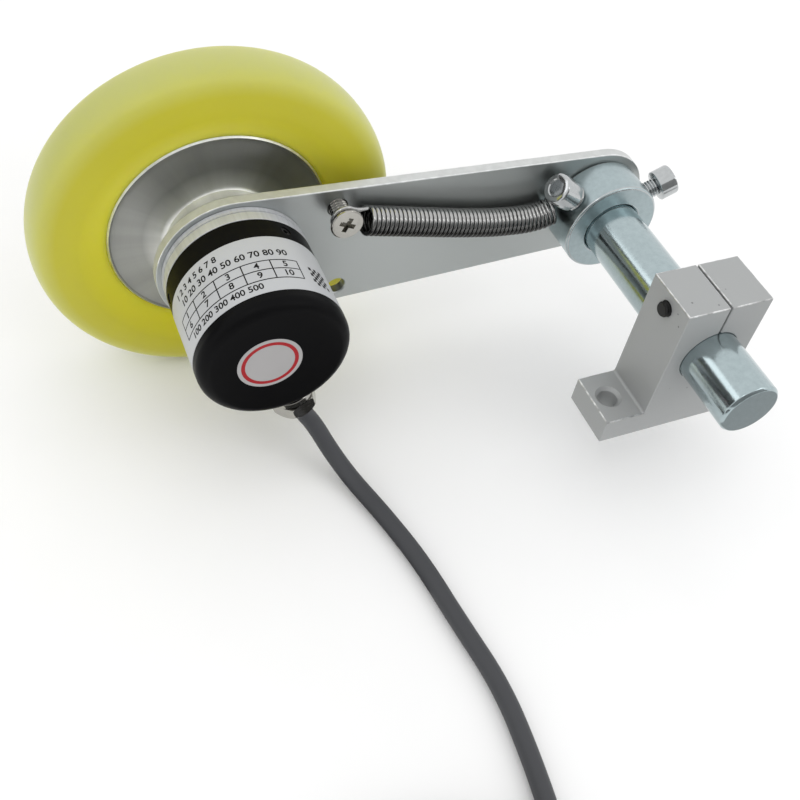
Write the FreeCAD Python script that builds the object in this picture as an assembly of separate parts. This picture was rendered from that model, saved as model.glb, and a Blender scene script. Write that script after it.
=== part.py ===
import FreeCAD, Part
import math
import os

# Measuring wheel encoder: a tyred wheel drives an incremental encoder that sits on a sprung arm.
# The arm swings on a round shaft, which a two-bolt support block clamps to the machine.
# Frame: origin at the middle of the block's underside, shaft along Y with the wheel at +Y,
# arm towards -X, Z up. All sizes are millimetres and all angles are degrees.

V = FreeCAD.Vector

# Shaft support block
SHAFT_D = 16.0
AXIS_H = 27.0
FOOT_W = 48.0
FOOT_T = 8.0
POST_W = 25.0
BLOCK_H = 44.0
BLOCK_LEN = 16.0
POST_FILLET = 0.8
BLOCK_CHAMFER = 0.5
FOOT_HOLE_EDGE = 5.0
FOOT_HOLE_D = 5.5
FOOT_HOLE_CHAMFER = 0.8
CLAMP_SLOT_W = 0.6

# Block clamp screw
CLAMP_D = 4.0
CLAMP_HEAD_D = 7.0
CLAMP_HEAD_H = 4.0
CLAMP_SOCKET_AF = 3.0
CLAMP_TIP_OUT = 1.6

# Pivot shaft
SHAFT_FREE_END = 27.0
SHAFT_CHAMFER = 1.0
JOURNAL_D = 12.0

# Arm plate
ARM_LENGTH = 105.0
PLATE_FRONT = 54.0
PLATE_T = 3.0
PLATE_BIG_R = 20.3
PLATE_SMALL_R = 16.0
PLATE_CHAMFER = 0.5

# Pivot bush and the washer and screw that hold the arm on the shaft
BUSH_WALL = 1.0
BUSH_FLANGE_D = 20.0
BUSH_FLANGE_T = 2.0
WASHER_D = 20.0
WASHER_T = 1.5
RETAINER_D = 6.0
RETAINER_LENGTH = 14.0
RETAINER_HEAD_D = 10.5
RETAINER_HEAD_H = 3.3
RETAINER_SOCKET_AF = 4.0

# Spring tension collar and its two cap screws
COLLAR_D = 28.0
COLLAR_W = 12.0
COLLAR_CHAMFER = 0.6
COLLAR_SCREW_D = 5.0
COLLAR_HEAD_D = 8.5
COLLAR_HEAD_H = 5.0
LOCK_HEAD_LIFT = 3.5
ANCHOR_HEAD_H = 6.5
ANCHOR_HEAD_LIFT = 2.0
COLLAR_SOCKET_AF = 4.0
LOCK_ANGLE = 24.0
ANCHOR_ANGLE = 144.0

# Spring post screw on the arm
POST_FROM_ENCODER = 26.5
POST_RISE = 13.7
POST_D = 5.0
POST_STANDOFF = 7.0
POST_HEAD_D = 8.6
POST_HEAD_H = 2.2
POST_HEAD_RIM = 0.5
CROSS_W = 1.6
CROSS_SPAN = 5.6
CROSS_DEPTH = 1.5
CROSS_TURN = 65.0
SPARE_HOLE_FROM_POST = V(1.7, 0, -27.8)

# Tension spring: close-wound body, slack, with a loop at each end
SPRING_D = 7.9
WIRE_D = 1.25
SPRING_PLATE_GAP = 0.45
SPRING_LOOP_GAP = 0.1
SPRING_FROM_POST = V(5.7, 0, -1.8)
SPRING_FROM_ANCHOR = V(-5.29, 0, -5.46)
SPRING_BOW_START = V(-22.8, 0, 1.2)
SPRING_BOW_MIDDLE = V(-11.45, 0, -0.4)

# Encoder flange
ENCODER_D = 38.0
FLANGE_T = 4.6
FLANGE_LINE_FROM_PLATE = 1.7
FLANGE_LINE_W = 0.4
FLANGE_LINE_DEPTH = 0.3
REGISTER_LENGTH = 6.4
CORE_WALL = 1.8
CORE_LIP = 1.5
PILOT_D = 20.0
PILOT_PROUD = 1.5
FLANGE_SCREW_D = 3.0
FLANGE_SCREW_HEAD_D = 5.6
FLANGE_SCREW_HEAD_H = 1.6
FLANGE_SCREW_DEPTH = 6.0
FLANGE_SCREW_CIRCLE_R = 13.5
FLANGE_SCREW_COUNT = 3
FLANGE_SCREW_FIRST = 90.0
FLANGE_SCREW_SOCKET_AF = 2.0

# Encoder cover
COVER_LENGTH = 29.4
COVER_WALL = 2.0
COVER_FILLET = 3.0
COVER_SCREW_D = 2.5
COVER_SCREW_FROM_RIM = 3.1
COVER_SCREW_LENGTH = 4.5
COVER_SCREW_SUNK = 0.3
COVER_SCREW_FIRST = 57.5
COVER_SCREW_COUNT = 3
SEAL_WIRE_D = 1.1
SEAL_FROM_RIM = 0.5

# Ball bearings of the encoder shaft
BEARING_BORE = 6.0
BEARING_OD = 15.0
BEARING_W = 5.0
RACE_WALL = 1.3
BALL_D = 2.38
BALL_COUNT = 7
BALL_GAP = 0.04
BEARING_RECESS = 0.5
BEARING_SPREAD = 6.0

# Encoder shaft and code disc
SHAFT_STEP_D = 8.0
SHAFT_END_PROUD = 1.0
SHAFT_END_CHAMFER = 0.45
DISC_HUB_NECK_D = 8.2
DISC_HUB_NECK = 1.5
DISC_HUB_D = 10.0
DISC_HUB_BODY = 2.0
DISC_HUB_FLANGE_D = 16.0
DISC_HUB_FLANGE_T = 1.5
DISC_D = 22.6
DISC_T = 1.0
DISC_HUB_LIP = 0.5

# Reader electronics
BOARD_D = 31.0
BOARD_T = 1.6
BOARD_POST_D = 4.0
BOARD_POST_H = 10.4
BOARD_POST_SUNK = 0.5
BOARD_POST_CIRCLE_R = 13.6
BOARD_POST_COUNT = 3
BOARD_POST_FIRST = 30.0
BOARD_SCREW_D = 2.0
BOARD_SCREW_HEAD_D = 3.8
BOARD_SCREW_HEAD_H = 1.3
BOARD_SCREW_DEPTH = 4.0
READER_SIZE = 5.0
READER_RADIUS = 10.3
READER_DISC_GAP = 0.8
LAMP_W = 6.0
LAMP_DEPTH = 3.2
LAMP_DISC_GAP = 1.0

# Cable gland
GLAND_ANGLE = -72.0
GLAND_FROM_END = 6.0
GLAND_SEAT_R = 18.1
GLAND_THREAD_D = 8.0
GLAND_D = 11.4
GLAND_FLANGE_T = 2.0
GLAND_NUT_AF = 10.8
GLAND_NUT_H = 5.4
GLAND_NUT_GAP = 0.3
GLAND_NUT_LIP = 1.1
GLAND_DOME_R = 7.4
GLAND_DOME_DROP = 5.9
GLAND_INSIDE = 2.4
SEAL_H = 1.6

# Wheel
WHEEL_D = 95.5
TYRE_W = 17.0
TYRE_BELLY_R = 37.1
TYRE_SHOULDER_SHARE = 0.8
RIM_D = 58.6
RIM_W = 10.2
RIM_CHAMFER = 0.5
HUB_GAP = 1.0
HUB_BOSS_D = 30.0
HUB_BOSS_LENGTH = 6.5
HUB_FACE_HOLLOW = 0.5
HUB_FACE_RISE = 2.2
HUB_BACK_RECESS = 3.2
HUB_BACK_BOSS_D = 24.0
HUB_RIM_WALL = 4.0
HUB_SHAFT_INSET = 2.0
HUB_SCREW_D = 4.0
HUB_SCREW_LENGTH = 8.0
HUB_SCREW_FROM_FRONT = 3.2
HUB_SCREW_ANGLES = (225.0, 315.0)

# Signal cable: it drops from the gland to the surface under the wheel, then runs to a tied coil
# Its route is given from the encoder's axis, the gland and the height at which the cable lies flat
CABLE_D = 4.8
CABLE_START_R = 18.4
CABLE_ROUTE = (
    V(8.9, 0.0, 17.96),
    V(12.7, -1.4, 11.95),
    V(16.0, -6.0, 4.95),
    V(19.6, -14.4, 0.75),
    V(23.7, -26.4, 0.0),
    V(27.8, -43.0, 0.0),
    V(30.0, -62.0, 0.0),
    V(32.8, -81.0, 0.0),
    V(31.6, -100.0, 0.0),
    V(28.8, -118.0, 0.75),
    V(29.4, -136.0, 2.65),
)
CABLE_ARC_SHARE = 0.45
COIL_FROM_GLAND = V(-2.0, -138.0, 0)
COIL_R = 27.0
COIL_BUNDLE_R = 7.0
TIE_W = 6.0
TIE_T = 0.8
TIE_GRIP = 0.3
TIE_ANGLE = 150.0
TAIL_ROUTE = (
    V(2.0, -28.4, 0.25),
    V(-14.0, -29.2, 0.0),
    V(-29.0, -25.0, 0.0),
    V(-43.0, -23.0, 0.0),
)
LEAD_D = 1.3
LEAD_LENGTH = 26.0
LEAD_RING_R = 1.5
# Each lead's angle round the sheath's end and the angle that it fans out to
LEAD_FAN = ((162.0, -24.0), (234.0, -12.0), (90.0, 0.0), (306.0, 12.0), (18.0, 24.0))

# Shares of a screw's own size
CAP_EDGE = 0.1
CAP_SOCKET_FLOOR = 0.45
GRUB_SOCKET = 0.4
BUTTON_CROWN = 0.75
BUTTON_SHOULDER_OUT = 0.25
BUTTON_SHOULDER_UP = 0.7
BUTTON_SOCKET_FLOOR = 0.4
FLAT_SOCKET = 0.8

# Clearances
RUN_GAP = 0.04
SLIP_GAP = 0.05
FACE_GAP = 0.1
SCREW_GAP = 0.02
HOLE_GAP = 0.25

# Reach of a cutter past the metal, depth of a drilled hole past its screw, and edge picking
OVER = 1.0
DRILL_OVER = 0.5
TINY = 0.01

# Places worked out from the sizes above
SHAFT_AXIS = V(0, 0, AXIS_H)
ENCODER_AXIS = V(-ARM_LENGTH, 0, AXIS_H)
SHAFT_R = SHAFT_D / 2
SHAFT_SHOULDER = PLATE_FRONT - FACE_GAP
PLATE_BACK = PLATE_FRONT + PLATE_T
JOURNAL_END = PLATE_BACK + BUSH_FLANGE_T + FACE_GAP
COLLAR_MID = SHAFT_SHOULDER - COLLAR_W / 2
CLAMP_Z = (AXIS_H + SHAFT_R + BLOCK_H) / 2
ENCODER_R = ENCODER_D / 2
FLANGE_BACK = PLATE_FRONT - FLANGE_T
REGISTER_FACE = FLANGE_BACK - REGISTER_LENGTH
COVER_END = FLANGE_BACK - COVER_LENGTH
COVER_BORE_R = ENCODER_R - COVER_WALL
REGISTER_R = COVER_BORE_R - SLIP_GAP
PILOT_END = PLATE_BACK + PILOT_PROUD
OUTER_BEARING = PILOT_END - BEARING_RECESS - BEARING_W
INNER_BEARING = OUTER_BEARING - BEARING_SPREAD - BEARING_W
CORE_R = BEARING_OD / 2 + CORE_WALL
DISC_HUB_FLANGE = INNER_BEARING - DISC_HUB_NECK - DISC_HUB_BODY - DISC_HUB_FLANGE_T
DISC_FRONT = DISC_HUB_FLANGE - DISC_T
BOARD_BACK = REGISTER_FACE - BOARD_POST_H
WHEEL_R = WHEEL_D / 2
RIM_R = RIM_D / 2
HUB_FRONT = PILOT_END + HUB_GAP
HUB_FACE = HUB_FRONT + HUB_BOSS_LENGTH
RIM_FRONT = HUB_FACE + HUB_FACE_RISE
RIM_BACK = RIM_FRONT + RIM_W
WHEEL_MID = RIM_FRONT + RIM_W / 2
FLOOR_Z = AXIS_H - WHEEL_R
POST = SHAFT_AXIS + V(POST_FROM_ENCODER - ARM_LENGTH, 0, POST_RISE)
SPRING_Y = PLATE_FRONT - SPRING_PLATE_GAP - SPRING_D / 2
GLAND_Y = COVER_END + GLAND_FROM_END
CABLE_LIES = V(ENCODER_AXIS.x, GLAND_Y, FLOOR_Z + CABLE_D / 2)
NODES = {}


def keep(name, shape):
    """Files a finished piece under its node name."""
    NODES[name] = shape


def along_y(axis, start, end, radius):
    """A cylinder on an axis that runs along Y, between two Y stations."""
    return Part.makeCylinder(radius, end - start, V(axis.x, start, axis.z), V(0, 1, 0))


def ring_y(axis, start, end, outer_r, inner_r):
    """A plain ring on an axis along Y."""
    return along_y(axis, start, end, outer_r).cut(along_y(axis, start, end, inner_r))


def outline_wire(points):
    """A closed wire of straight edges through the points."""
    return Part.makePolygon(list(points) + [points[0]])


def turned_y(axis, profile):
    """Turns a closed outline of (radius, Y) points round an axis along Y."""
    points = [V(axis.x + radius, y, axis.z) for radius, y in profile]
    return turned_wire(axis, outline_wire(points))


def turned_wire(axis, wire):
    """Turns a closed wire round an axis along Y into a solid."""
    solid = Part.Face(wire).revolve(axis, V(0, 1, 0), 360)
    if solid.Volume < 0:
        solid.reverse()
    return solid


def hexagon(across_flats, start, end):
    """A hexagonal bar along Z."""
    corner_r = across_flats / math.sqrt(3)
    corners = []
    for step in range(6):
        angle = math.radians(60 * step)
        corners.append(V(corner_r * math.cos(angle), corner_r * math.sin(angle), start))
    return Part.Face(outline_wire(corners)).extrude(V(0, 0, end - start))


def placed(shape, point, direction):
    """Moves a piece that was made along +Z from the origin to a point and direction."""
    moved = shape.copy()
    turn = FreeCAD.Rotation(V(0, 0, 1), direction)
    moved.Placement = FreeCAD.Placement(point, turn)
    return moved


def spoke(angle):
    """The unit vector at an angle round an axis along Y, from +X towards +Z."""
    turn = math.radians(angle)
    return V(math.cos(turn), 0, math.sin(turn))


def around(axis, y, radius, angle):
    """A point at a radius and angle round an axis along Y."""
    return V(axis.x, y, axis.z) + spoke(angle) * radius


def even_angles(first, count):
    """Evenly spaced angles round a full turn."""
    return [first + 360 * step / count for step in range(count)]


def cap_screw(thread_d, length, head_d, head_h, socket_af):
    """A socket cap screw along Z: the head stands on z = 0 and the shank reaches down."""
    edge = head_h * CAP_EDGE
    head = Part.makeCylinder(head_d / 2, head_h)
    head = head.makeChamfer(edge, [e for e in head.Edges if e.BoundBox.ZMin > head_h - TINY])
    shank = Part.makeCylinder(thread_d / 2, length, V(0, 0, -length))
    socket = hexagon(socket_af, head_h * CAP_SOCKET_FLOOR, head_h + OVER)
    return head.fuse(shank).cut(socket).removeSplitter()


def grub_screw(thread_d, length):
    """A headless screw along Z with a socket in its top end."""
    body = Part.makeCylinder(thread_d / 2, length, V(0, 0, -length))
    return body.cut(hexagon(thread_d / 2, -length * GRUB_SOCKET, OVER))


def countersunk_screw(thread_d, length, head_d, head_h, rim):
    """A flat-head screw along Z: its flat top is at z = 0 and the shank reaches down to -length."""
    top = Part.makeCylinder(head_d / 2, rim, V(0, 0, -rim))
    cone = Part.makeCone(thread_d / 2, head_d / 2, head_h - rim, V(0, 0, -head_h))
    shank = Part.makeCylinder(thread_d / 2, length - head_h, V(0, 0, -length))
    return top.fuse([cone, shank]).removeSplitter()


def support_block():
    """The two-bolt block that clamps the shaft: foot, split post, bore and cross screw."""
    half_foot = FOOT_W / 2
    half_post = POST_W / 2
    front = -BLOCK_LEN / 2
    outline = [
        V(-half_foot, front, 0),
        V(half_foot, front, 0),
        V(half_foot, front, FOOT_T),
        V(half_post, front, FOOT_T),
        V(half_post, front, BLOCK_H),
        V(-half_post, front, BLOCK_H),
        V(-half_post, front, FOOT_T),
        V(-half_foot, front, FOOT_T),
    ]
    body = Part.Face(outline_wire(outline)).extrude(V(0, BLOCK_LEN, 0))
    roots = []
    tops = []
    for edge in body.Edges:
        box = edge.BoundBox
        if box.YLength < BLOCK_LEN / 2:
            continue
        if abs(box.ZMin - FOOT_T) < TINY and abs(abs(box.XMin) - half_post) < TINY:
            roots.append(edge)
        if box.ZMin > BLOCK_H - TINY:
            tops.append(edge)
    body = body.makeChamfer(BLOCK_CHAMFER, tops)
    roots = [e for e in body.Edges if any(e.isPartner(root) for root in roots)]
    body = body.makeFillet(POST_FILLET, roots)
    bore = along_y(SHAFT_AXIS, front - OVER, -front + OVER, SHAFT_R + RUN_GAP)
    slot_corner = V(-CLAMP_SLOT_W / 2, front - OVER, AXIS_H)
    slot = Part.makeBox(CLAMP_SLOT_W, BLOCK_LEN + 2 * OVER, BLOCK_H, slot_corner)
    body = body.cut([bore, slot])
    for side in (-1, 1):
        x = side * (half_foot - FOOT_HOLE_EDGE)
        hole_r = FOOT_HOLE_D / 2
        hole = Part.makeCylinder(hole_r, FOOT_T + 2 * OVER, V(x, 0, -OVER))
        mouth = V(x, 0, FOOT_T - FOOT_HOLE_CHAMFER)
        lead = Part.makeCone(hole_r, hole_r + FOOT_HOLE_CHAMFER, FOOT_HOLE_CHAMFER, mouth)
        body = body.cut([hole, lead])
    across = V(1, 0, 0)
    far_side = V(-half_post - OVER, 0, CLAMP_Z)
    tapped = Part.makeCylinder(CLAMP_D / 2 + SCREW_GAP, half_post + 2 * OVER, far_side, across)
    clear = Part.makeCylinder(CLAMP_D / 2 + HOLE_GAP, half_post + OVER, V(0, 0, CLAMP_Z), across)
    sink_r = CLAMP_HEAD_D / 2 + HOLE_GAP
    sink = Part.makeCylinder(sink_r, CLAMP_HEAD_H + OVER, V(half_post - CLAMP_HEAD_H, 0, CLAMP_Z), across)
    keep("support_block", body.cut([tapped, clear, sink]).removeSplitter())


def block_clamp_screw():
    """The cross screw that closes the block's slot, with its tip standing out of the far side."""
    seat = POST_W / 2 - CLAMP_HEAD_H
    length = seat + POST_W / 2 + CLAMP_TIP_OUT
    screw = cap_screw(CLAMP_D, length, CLAMP_HEAD_D, CLAMP_HEAD_H, CLAMP_SOCKET_AF)
    keep("block_clamp_screw", placed(screw, V(seat, 0, CLAMP_Z), V(1, 0, 0)))


def pivot_shaft():
    """The round shaft, stepped down to the journal that the arm swings on."""
    journal_r = JOURNAL_D / 2
    thread_r = RETAINER_D / 2 + SCREW_GAP
    thread_end = JOURNAL_END - RETAINER_LENGTH - DRILL_OVER
    profile = [
        (0, -SHAFT_FREE_END),
        (SHAFT_R - SHAFT_CHAMFER, -SHAFT_FREE_END),
        (SHAFT_R, -SHAFT_FREE_END + SHAFT_CHAMFER),
        (SHAFT_R, SHAFT_SHOULDER),
        (journal_r, SHAFT_SHOULDER),
        (journal_r, JOURNAL_END),
        (thread_r, JOURNAL_END),
        (thread_r, thread_end),
        (0, thread_end - thread_r / 2),
    ]
    keep("pivot_shaft", turned_y(SHAFT_AXIS, profile))


def arm_retainer():
    """The washer and button-head screw on the shaft's end, behind the arm."""
    outer = JOURNAL_END + WASHER_T
    hole_r = RETAINER_D / 2 + HOLE_GAP
    keep("retaining_washer", ring_y(SHAFT_AXIS, JOURNAL_END, outer, WASHER_D / 2, hole_r))
    head_r = RETAINER_HEAD_D / 2
    crown_r = RETAINER_SOCKET_AF * BUTTON_CROWN
    foot = V(0, 0, 0)
    rim = V(head_r, 0, 0)
    shoulder_r = (head_r + crown_r) / 2 + RETAINER_HEAD_H * BUTTON_SHOULDER_OUT
    shoulder = V(shoulder_r, 0, RETAINER_HEAD_H * BUTTON_SHOULDER_UP)
    crown = V(crown_r, 0, RETAINER_HEAD_H)
    top = V(0, 0, RETAINER_HEAD_H)
    edges = [
        Part.LineSegment(foot, rim).toShape(),
        Part.Arc(rim, shoulder, crown).toShape(),
        Part.LineSegment(crown, top).toShape(),
        Part.LineSegment(top, foot).toShape(),
    ]
    head = Part.Face(Part.Wire(edges)).revolve(V(0, 0, 0), V(0, 0, 1), 360)
    if head.Volume < 0:
        head.reverse()
    shank = Part.makeCylinder(RETAINER_D / 2, RETAINER_LENGTH, V(0, 0, -RETAINER_LENGTH))
    socket = hexagon(RETAINER_SOCKET_AF, RETAINER_HEAD_H * BUTTON_SOCKET_FLOOR, RETAINER_HEAD_H + OVER)
    screw = head.fuse(shank).cut(socket).removeSplitter()
    keep("retaining_screw", placed(screw, V(0, outer, AXIS_H), V(0, 1, 0)))


def tension_collar():
    """The collar that sets the spring's pull, with its lock screw and the spring's anchor screw."""
    front = COLLAR_MID - COLLAR_W / 2
    back = COLLAR_MID + COLLAR_W / 2
    outer_r = COLLAR_D / 2
    bore_r = SHAFT_R + RUN_GAP
    edge = COLLAR_CHAMFER
    profile = [
        (bore_r + edge, front),
        (outer_r - edge, front),
        (outer_r, front + edge),
        (outer_r, back - edge),
        (outer_r - edge, back),
        (bore_r + edge, back),
        (bore_r, back - edge),
        (bore_r, front + edge),
    ]
    collar = turned_y(SHAFT_AXIS, profile)
    centre = V(0, COLLAR_MID, AXIS_H)
    for name, angle, lift, head_h in (
        ("collar_lock_screw", LOCK_ANGLE, LOCK_HEAD_LIFT, COLLAR_HEAD_H),
        ("spring_anchor_screw", ANCHOR_ANGLE, ANCHOR_HEAD_LIFT, ANCHOR_HEAD_H),
    ):
        head_seat = outer_r + lift
        length = head_seat - SHAFT_R - FACE_GAP - RUN_GAP
        screw = cap_screw(COLLAR_SCREW_D, length, COLLAR_HEAD_D, head_h, COLLAR_SOCKET_AF)
        tapped = Part.makeCylinder(COLLAR_SCREW_D / 2 + SCREW_GAP, outer_r + OVER, centre, spoke(angle))
        collar = collar.cut(tapped)
        keep(name, placed(screw, around(SHAFT_AXIS, COLLAR_MID, head_seat, angle), spoke(angle)))
    keep("tension_collar", collar.removeSplitter())


def arm_outline():
    """The arm's edge: two round ends joined by their common tangents."""
    lean = math.degrees(math.acos((PLATE_BIG_R - PLATE_SMALL_R) / ARM_LENGTH))
    big_top = around(ENCODER_AXIS, PLATE_FRONT, PLATE_BIG_R, lean)
    small_top = around(SHAFT_AXIS, PLATE_FRONT, PLATE_SMALL_R, lean)
    small_tip = around(SHAFT_AXIS, PLATE_FRONT, PLATE_SMALL_R, 0)
    small_low = around(SHAFT_AXIS, PLATE_FRONT, PLATE_SMALL_R, -lean)
    big_low = around(ENCODER_AXIS, PLATE_FRONT, PLATE_BIG_R, -lean)
    big_tip = around(ENCODER_AXIS, PLATE_FRONT, PLATE_BIG_R, 180)
    return Part.Wire([
        Part.LineSegment(big_top, small_top).toShape(),
        Part.Arc(small_top, small_tip, small_low).toShape(),
        Part.LineSegment(small_low, big_low).toShape(),
        Part.Arc(big_low, big_tip, big_top).toShape(),
    ])


def arm_plate():
    """The flat arm with its pivot hole, encoder pilot hole, flange screws and two spring post holes."""
    plate = Part.Face(arm_outline()).extrude(V(0, PLATE_T, 0))
    plate = plate.makeChamfer(PLATE_CHAMFER, [e for e in plate.Edges if e.BoundBox.YLength < PLATE_T / 2])
    below = PLATE_FRONT - OVER
    above = PLATE_BACK + OVER
    cuts = [
        along_y(SHAFT_AXIS, below, above, JOURNAL_D / 2 + RUN_GAP + BUSH_WALL),
        along_y(ENCODER_AXIS, below, above, PILOT_D / 2 + SLIP_GAP),
    ]
    for place in (POST, POST + SPARE_HOLE_FROM_POST):
        cuts.append(along_y(place, below, above, POST_D / 2 + SCREW_GAP))
    hole_d = FLANGE_SCREW_D + 2 * HOLE_GAP
    sink_d = FLANGE_SCREW_HEAD_D + 2 * SCREW_GAP
    screw = countersunk_screw(hole_d, 2 * PLATE_T, sink_d, FLANGE_SCREW_HEAD_H, SCREW_GAP)
    for angle in even_angles(FLANGE_SCREW_FIRST, FLANGE_SCREW_COUNT):
        top = around(ENCODER_AXIS, PLATE_BACK, FLANGE_SCREW_CIRCLE_R, angle)
        cuts.append(placed(screw, top, V(0, 1, 0)))
    keep("arm_plate", plate.cut(cuts).removeSplitter())


def pivot_bush():
    """The flanged bush pressed into the arm from behind."""
    bore_r = JOURNAL_D / 2 + RUN_GAP
    outer_r = bore_r + BUSH_WALL
    flange_end = PLATE_BACK + BUSH_FLANGE_T
    profile = [
        (bore_r, PLATE_FRONT),
        (outer_r, PLATE_FRONT),
        (outer_r, PLATE_BACK),
        (BUSH_FLANGE_D / 2, PLATE_BACK),
        (BUSH_FLANGE_D / 2, flange_end),
        (bore_r, flange_end),
    ]
    keep("pivot_bush", turned_y(SHAFT_AXIS, profile))


def spring_post_screw():
    """The cross-head screw that stands off the arm and holds the spring's loop under its head."""
    length = POST_STANDOFF + PLATE_T
    screw = countersunk_screw(POST_D, length, POST_HEAD_D, POST_HEAD_H, POST_HEAD_RIM)
    for turn in (0, 90):
        corner = V(-CROSS_SPAN / 2, -CROSS_W / 2, -CROSS_DEPTH)
        slit = Part.makeBox(CROSS_SPAN, CROSS_W, 2 * CROSS_DEPTH, corner)
        slit.rotate(V(0, 0, 0), V(0, 0, 1), turn + CROSS_TURN)
        screw = screw.cut(slit)
    top = POST + V(0, PLATE_FRONT - POST_STANDOFF, 0)
    keep("spring_post_screw", placed(screw, top, V(0, -1, 0)))


def wire_run(start, end):
    """A straight run of the spring's wire."""
    return Part.makeCylinder(WIRE_D / 2, (end - start).Length, start, end - start)


def tension_spring():
    """The slack close-wound spring as a hollow body along its bowed line, with a loop at each end."""
    loop_seat = COLLAR_D / 2 + SPRING_LOOP_GAP + WIRE_D / 2
    anchor = around(SHAFT_AXIS, COLLAR_MID, loop_seat, ANCHOR_ANGLE)
    left = POST + V(0, SPRING_Y, 0) + SPRING_FROM_POST
    right = V(anchor.x, SPRING_Y, anchor.z) + SPRING_FROM_ANCHOR
    bend = right + SPRING_BOW_START
    run = Part.LineSegment(left, bend).toShape()
    bow = Part.Arc(bend, right + SPRING_BOW_MIDDLE, right).toShape()
    path = Part.Wire([run, bow])
    heading = bend - left
    walls = []
    for radius in (SPRING_D / 2, SPRING_D / 2 - WIRE_D):
        section = Part.Wire([Part.makeCircle(radius, left, heading)])
        walls.append(path.makePipeShell([section], True, False))
    body = walls[0].cut(walls[1])
    loop_r = (SPRING_D - WIRE_D) / 2
    hook = POST + V(loop_r - WIRE_D / 2 - POST_D / 2 - SCREW_GAP, SPRING_Y, 0)
    left_loop = Part.makeTorus(loop_r, WIRE_D / 2, hook, V(0, 1, 0))
    right_loop = Part.makeTorus(loop_r, WIRE_D / 2, anchor, spoke(ANCHOR_ANGLE))
    left_lead = wire_run(left + V(0, loop_r, 0), hook + V(loop_r, 0, 0))
    right_lead = wire_run(right - V(0, loop_r, 0), anchor - spoke(ANCHOR_ANGLE - 90) * loop_r)
    keep("tension_spring", body.fuse([left_loop, right_loop, left_lead, right_lead]).removeSplitter())


def encoder_flange():
    """The encoder's base: flange with a fine turned line, cover register, bearing core and pilot."""
    line_mid = PLATE_FRONT - FLANGE_LINE_FROM_PLATE
    line_back = line_mid - FLANGE_LINE_W / 2
    line_front = line_mid + FLANGE_LINE_W / 2
    groove_r = ENCODER_R - FLANGE_LINE_DEPTH
    seal_low = FLANGE_BACK - SEAL_FROM_RIM - SEAL_WIRE_D
    seal_high = FLANGE_BACK - SEAL_FROM_RIM
    seal_r = COVER_BORE_R - SEAL_WIRE_D
    core_end = INNER_BEARING - BEARING_RECESS
    bore_r = BEARING_OD / 2
    web_r = bore_r - CORE_LIP
    profile = [
        (bore_r, core_end),
        (CORE_R, core_end),
        (CORE_R, REGISTER_FACE),
        (REGISTER_R, REGISTER_FACE),
        (REGISTER_R, seal_low),
        (seal_r, seal_low),
        (seal_r, seal_high),
        (REGISTER_R, seal_high),
        (REGISTER_R, FLANGE_BACK),
        (ENCODER_R, FLANGE_BACK),
        (ENCODER_R, line_back),
        (groove_r, line_back),
        (groove_r, line_front),
        (ENCODER_R, line_front),
        (ENCODER_R, PLATE_FRONT),
        (PILOT_D / 2, PLATE_FRONT),
        (PILOT_D / 2, PILOT_END),
        (bore_r, PILOT_END),
        (bore_r, OUTER_BEARING),
        (web_r, OUTER_BEARING),
        (web_r, INNER_BEARING + BEARING_W),
        (bore_r, INNER_BEARING + BEARING_W),
    ]
    flange = turned_y(ENCODER_AXIS, profile)
    cuts = []
    for angle in even_angles(FLANGE_SCREW_FIRST, FLANGE_SCREW_COUNT):
        place = around(ENCODER_AXIS, 0, FLANGE_SCREW_CIRCLE_R, angle)
        bottom = PLATE_FRONT - FLANGE_SCREW_DEPTH - DRILL_OVER
        cuts.append(along_y(place, bottom, PLATE_FRONT + OVER, FLANGE_SCREW_D / 2 + SCREW_GAP))
    depth = COVER_SCREW_LENGTH + COVER_SCREW_SUNK + DRILL_OVER
    for angle in even_angles(COVER_SCREW_FIRST, COVER_SCREW_COUNT):
        mouth = around(ENCODER_AXIS, FLANGE_BACK - COVER_SCREW_FROM_RIM, ENCODER_R, angle)
        cuts.append(Part.makeCylinder(COVER_SCREW_D / 2 + SCREW_GAP, depth, mouth, -spoke(angle)))
    for angle in even_angles(BOARD_POST_FIRST, BOARD_POST_COUNT):
        place = around(ENCODER_AXIS, 0, BOARD_POST_CIRCLE_R, angle)
        cuts.append(along_y(place, REGISTER_FACE - OVER, REGISTER_FACE + BOARD_POST_SUNK, BOARD_POST_D / 2))
    keep("encoder_flange", flange.cut(cuts).removeSplitter())


def flange_screws():
    """The countersunk screws that hold the encoder to the arm, flush with the arm's back."""
    length = PLATE_T + FLANGE_SCREW_DEPTH
    screw = countersunk_screw(FLANGE_SCREW_D, length, FLANGE_SCREW_HEAD_D, FLANGE_SCREW_HEAD_H, SCREW_GAP)
    screw = screw.cut(hexagon(FLANGE_SCREW_SOCKET_AF, -FLANGE_SCREW_HEAD_H * FLAT_SOCKET, OVER))
    screws = []
    for angle in even_angles(FLANGE_SCREW_FIRST, FLANGE_SCREW_COUNT):
        top = around(ENCODER_AXIS, PLATE_BACK, FLANGE_SCREW_CIRCLE_R, angle)
        screws.append(placed(screw, top, V(0, 1, 0)))
    keep("flange_screws", Part.makeCompound(screws))


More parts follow.
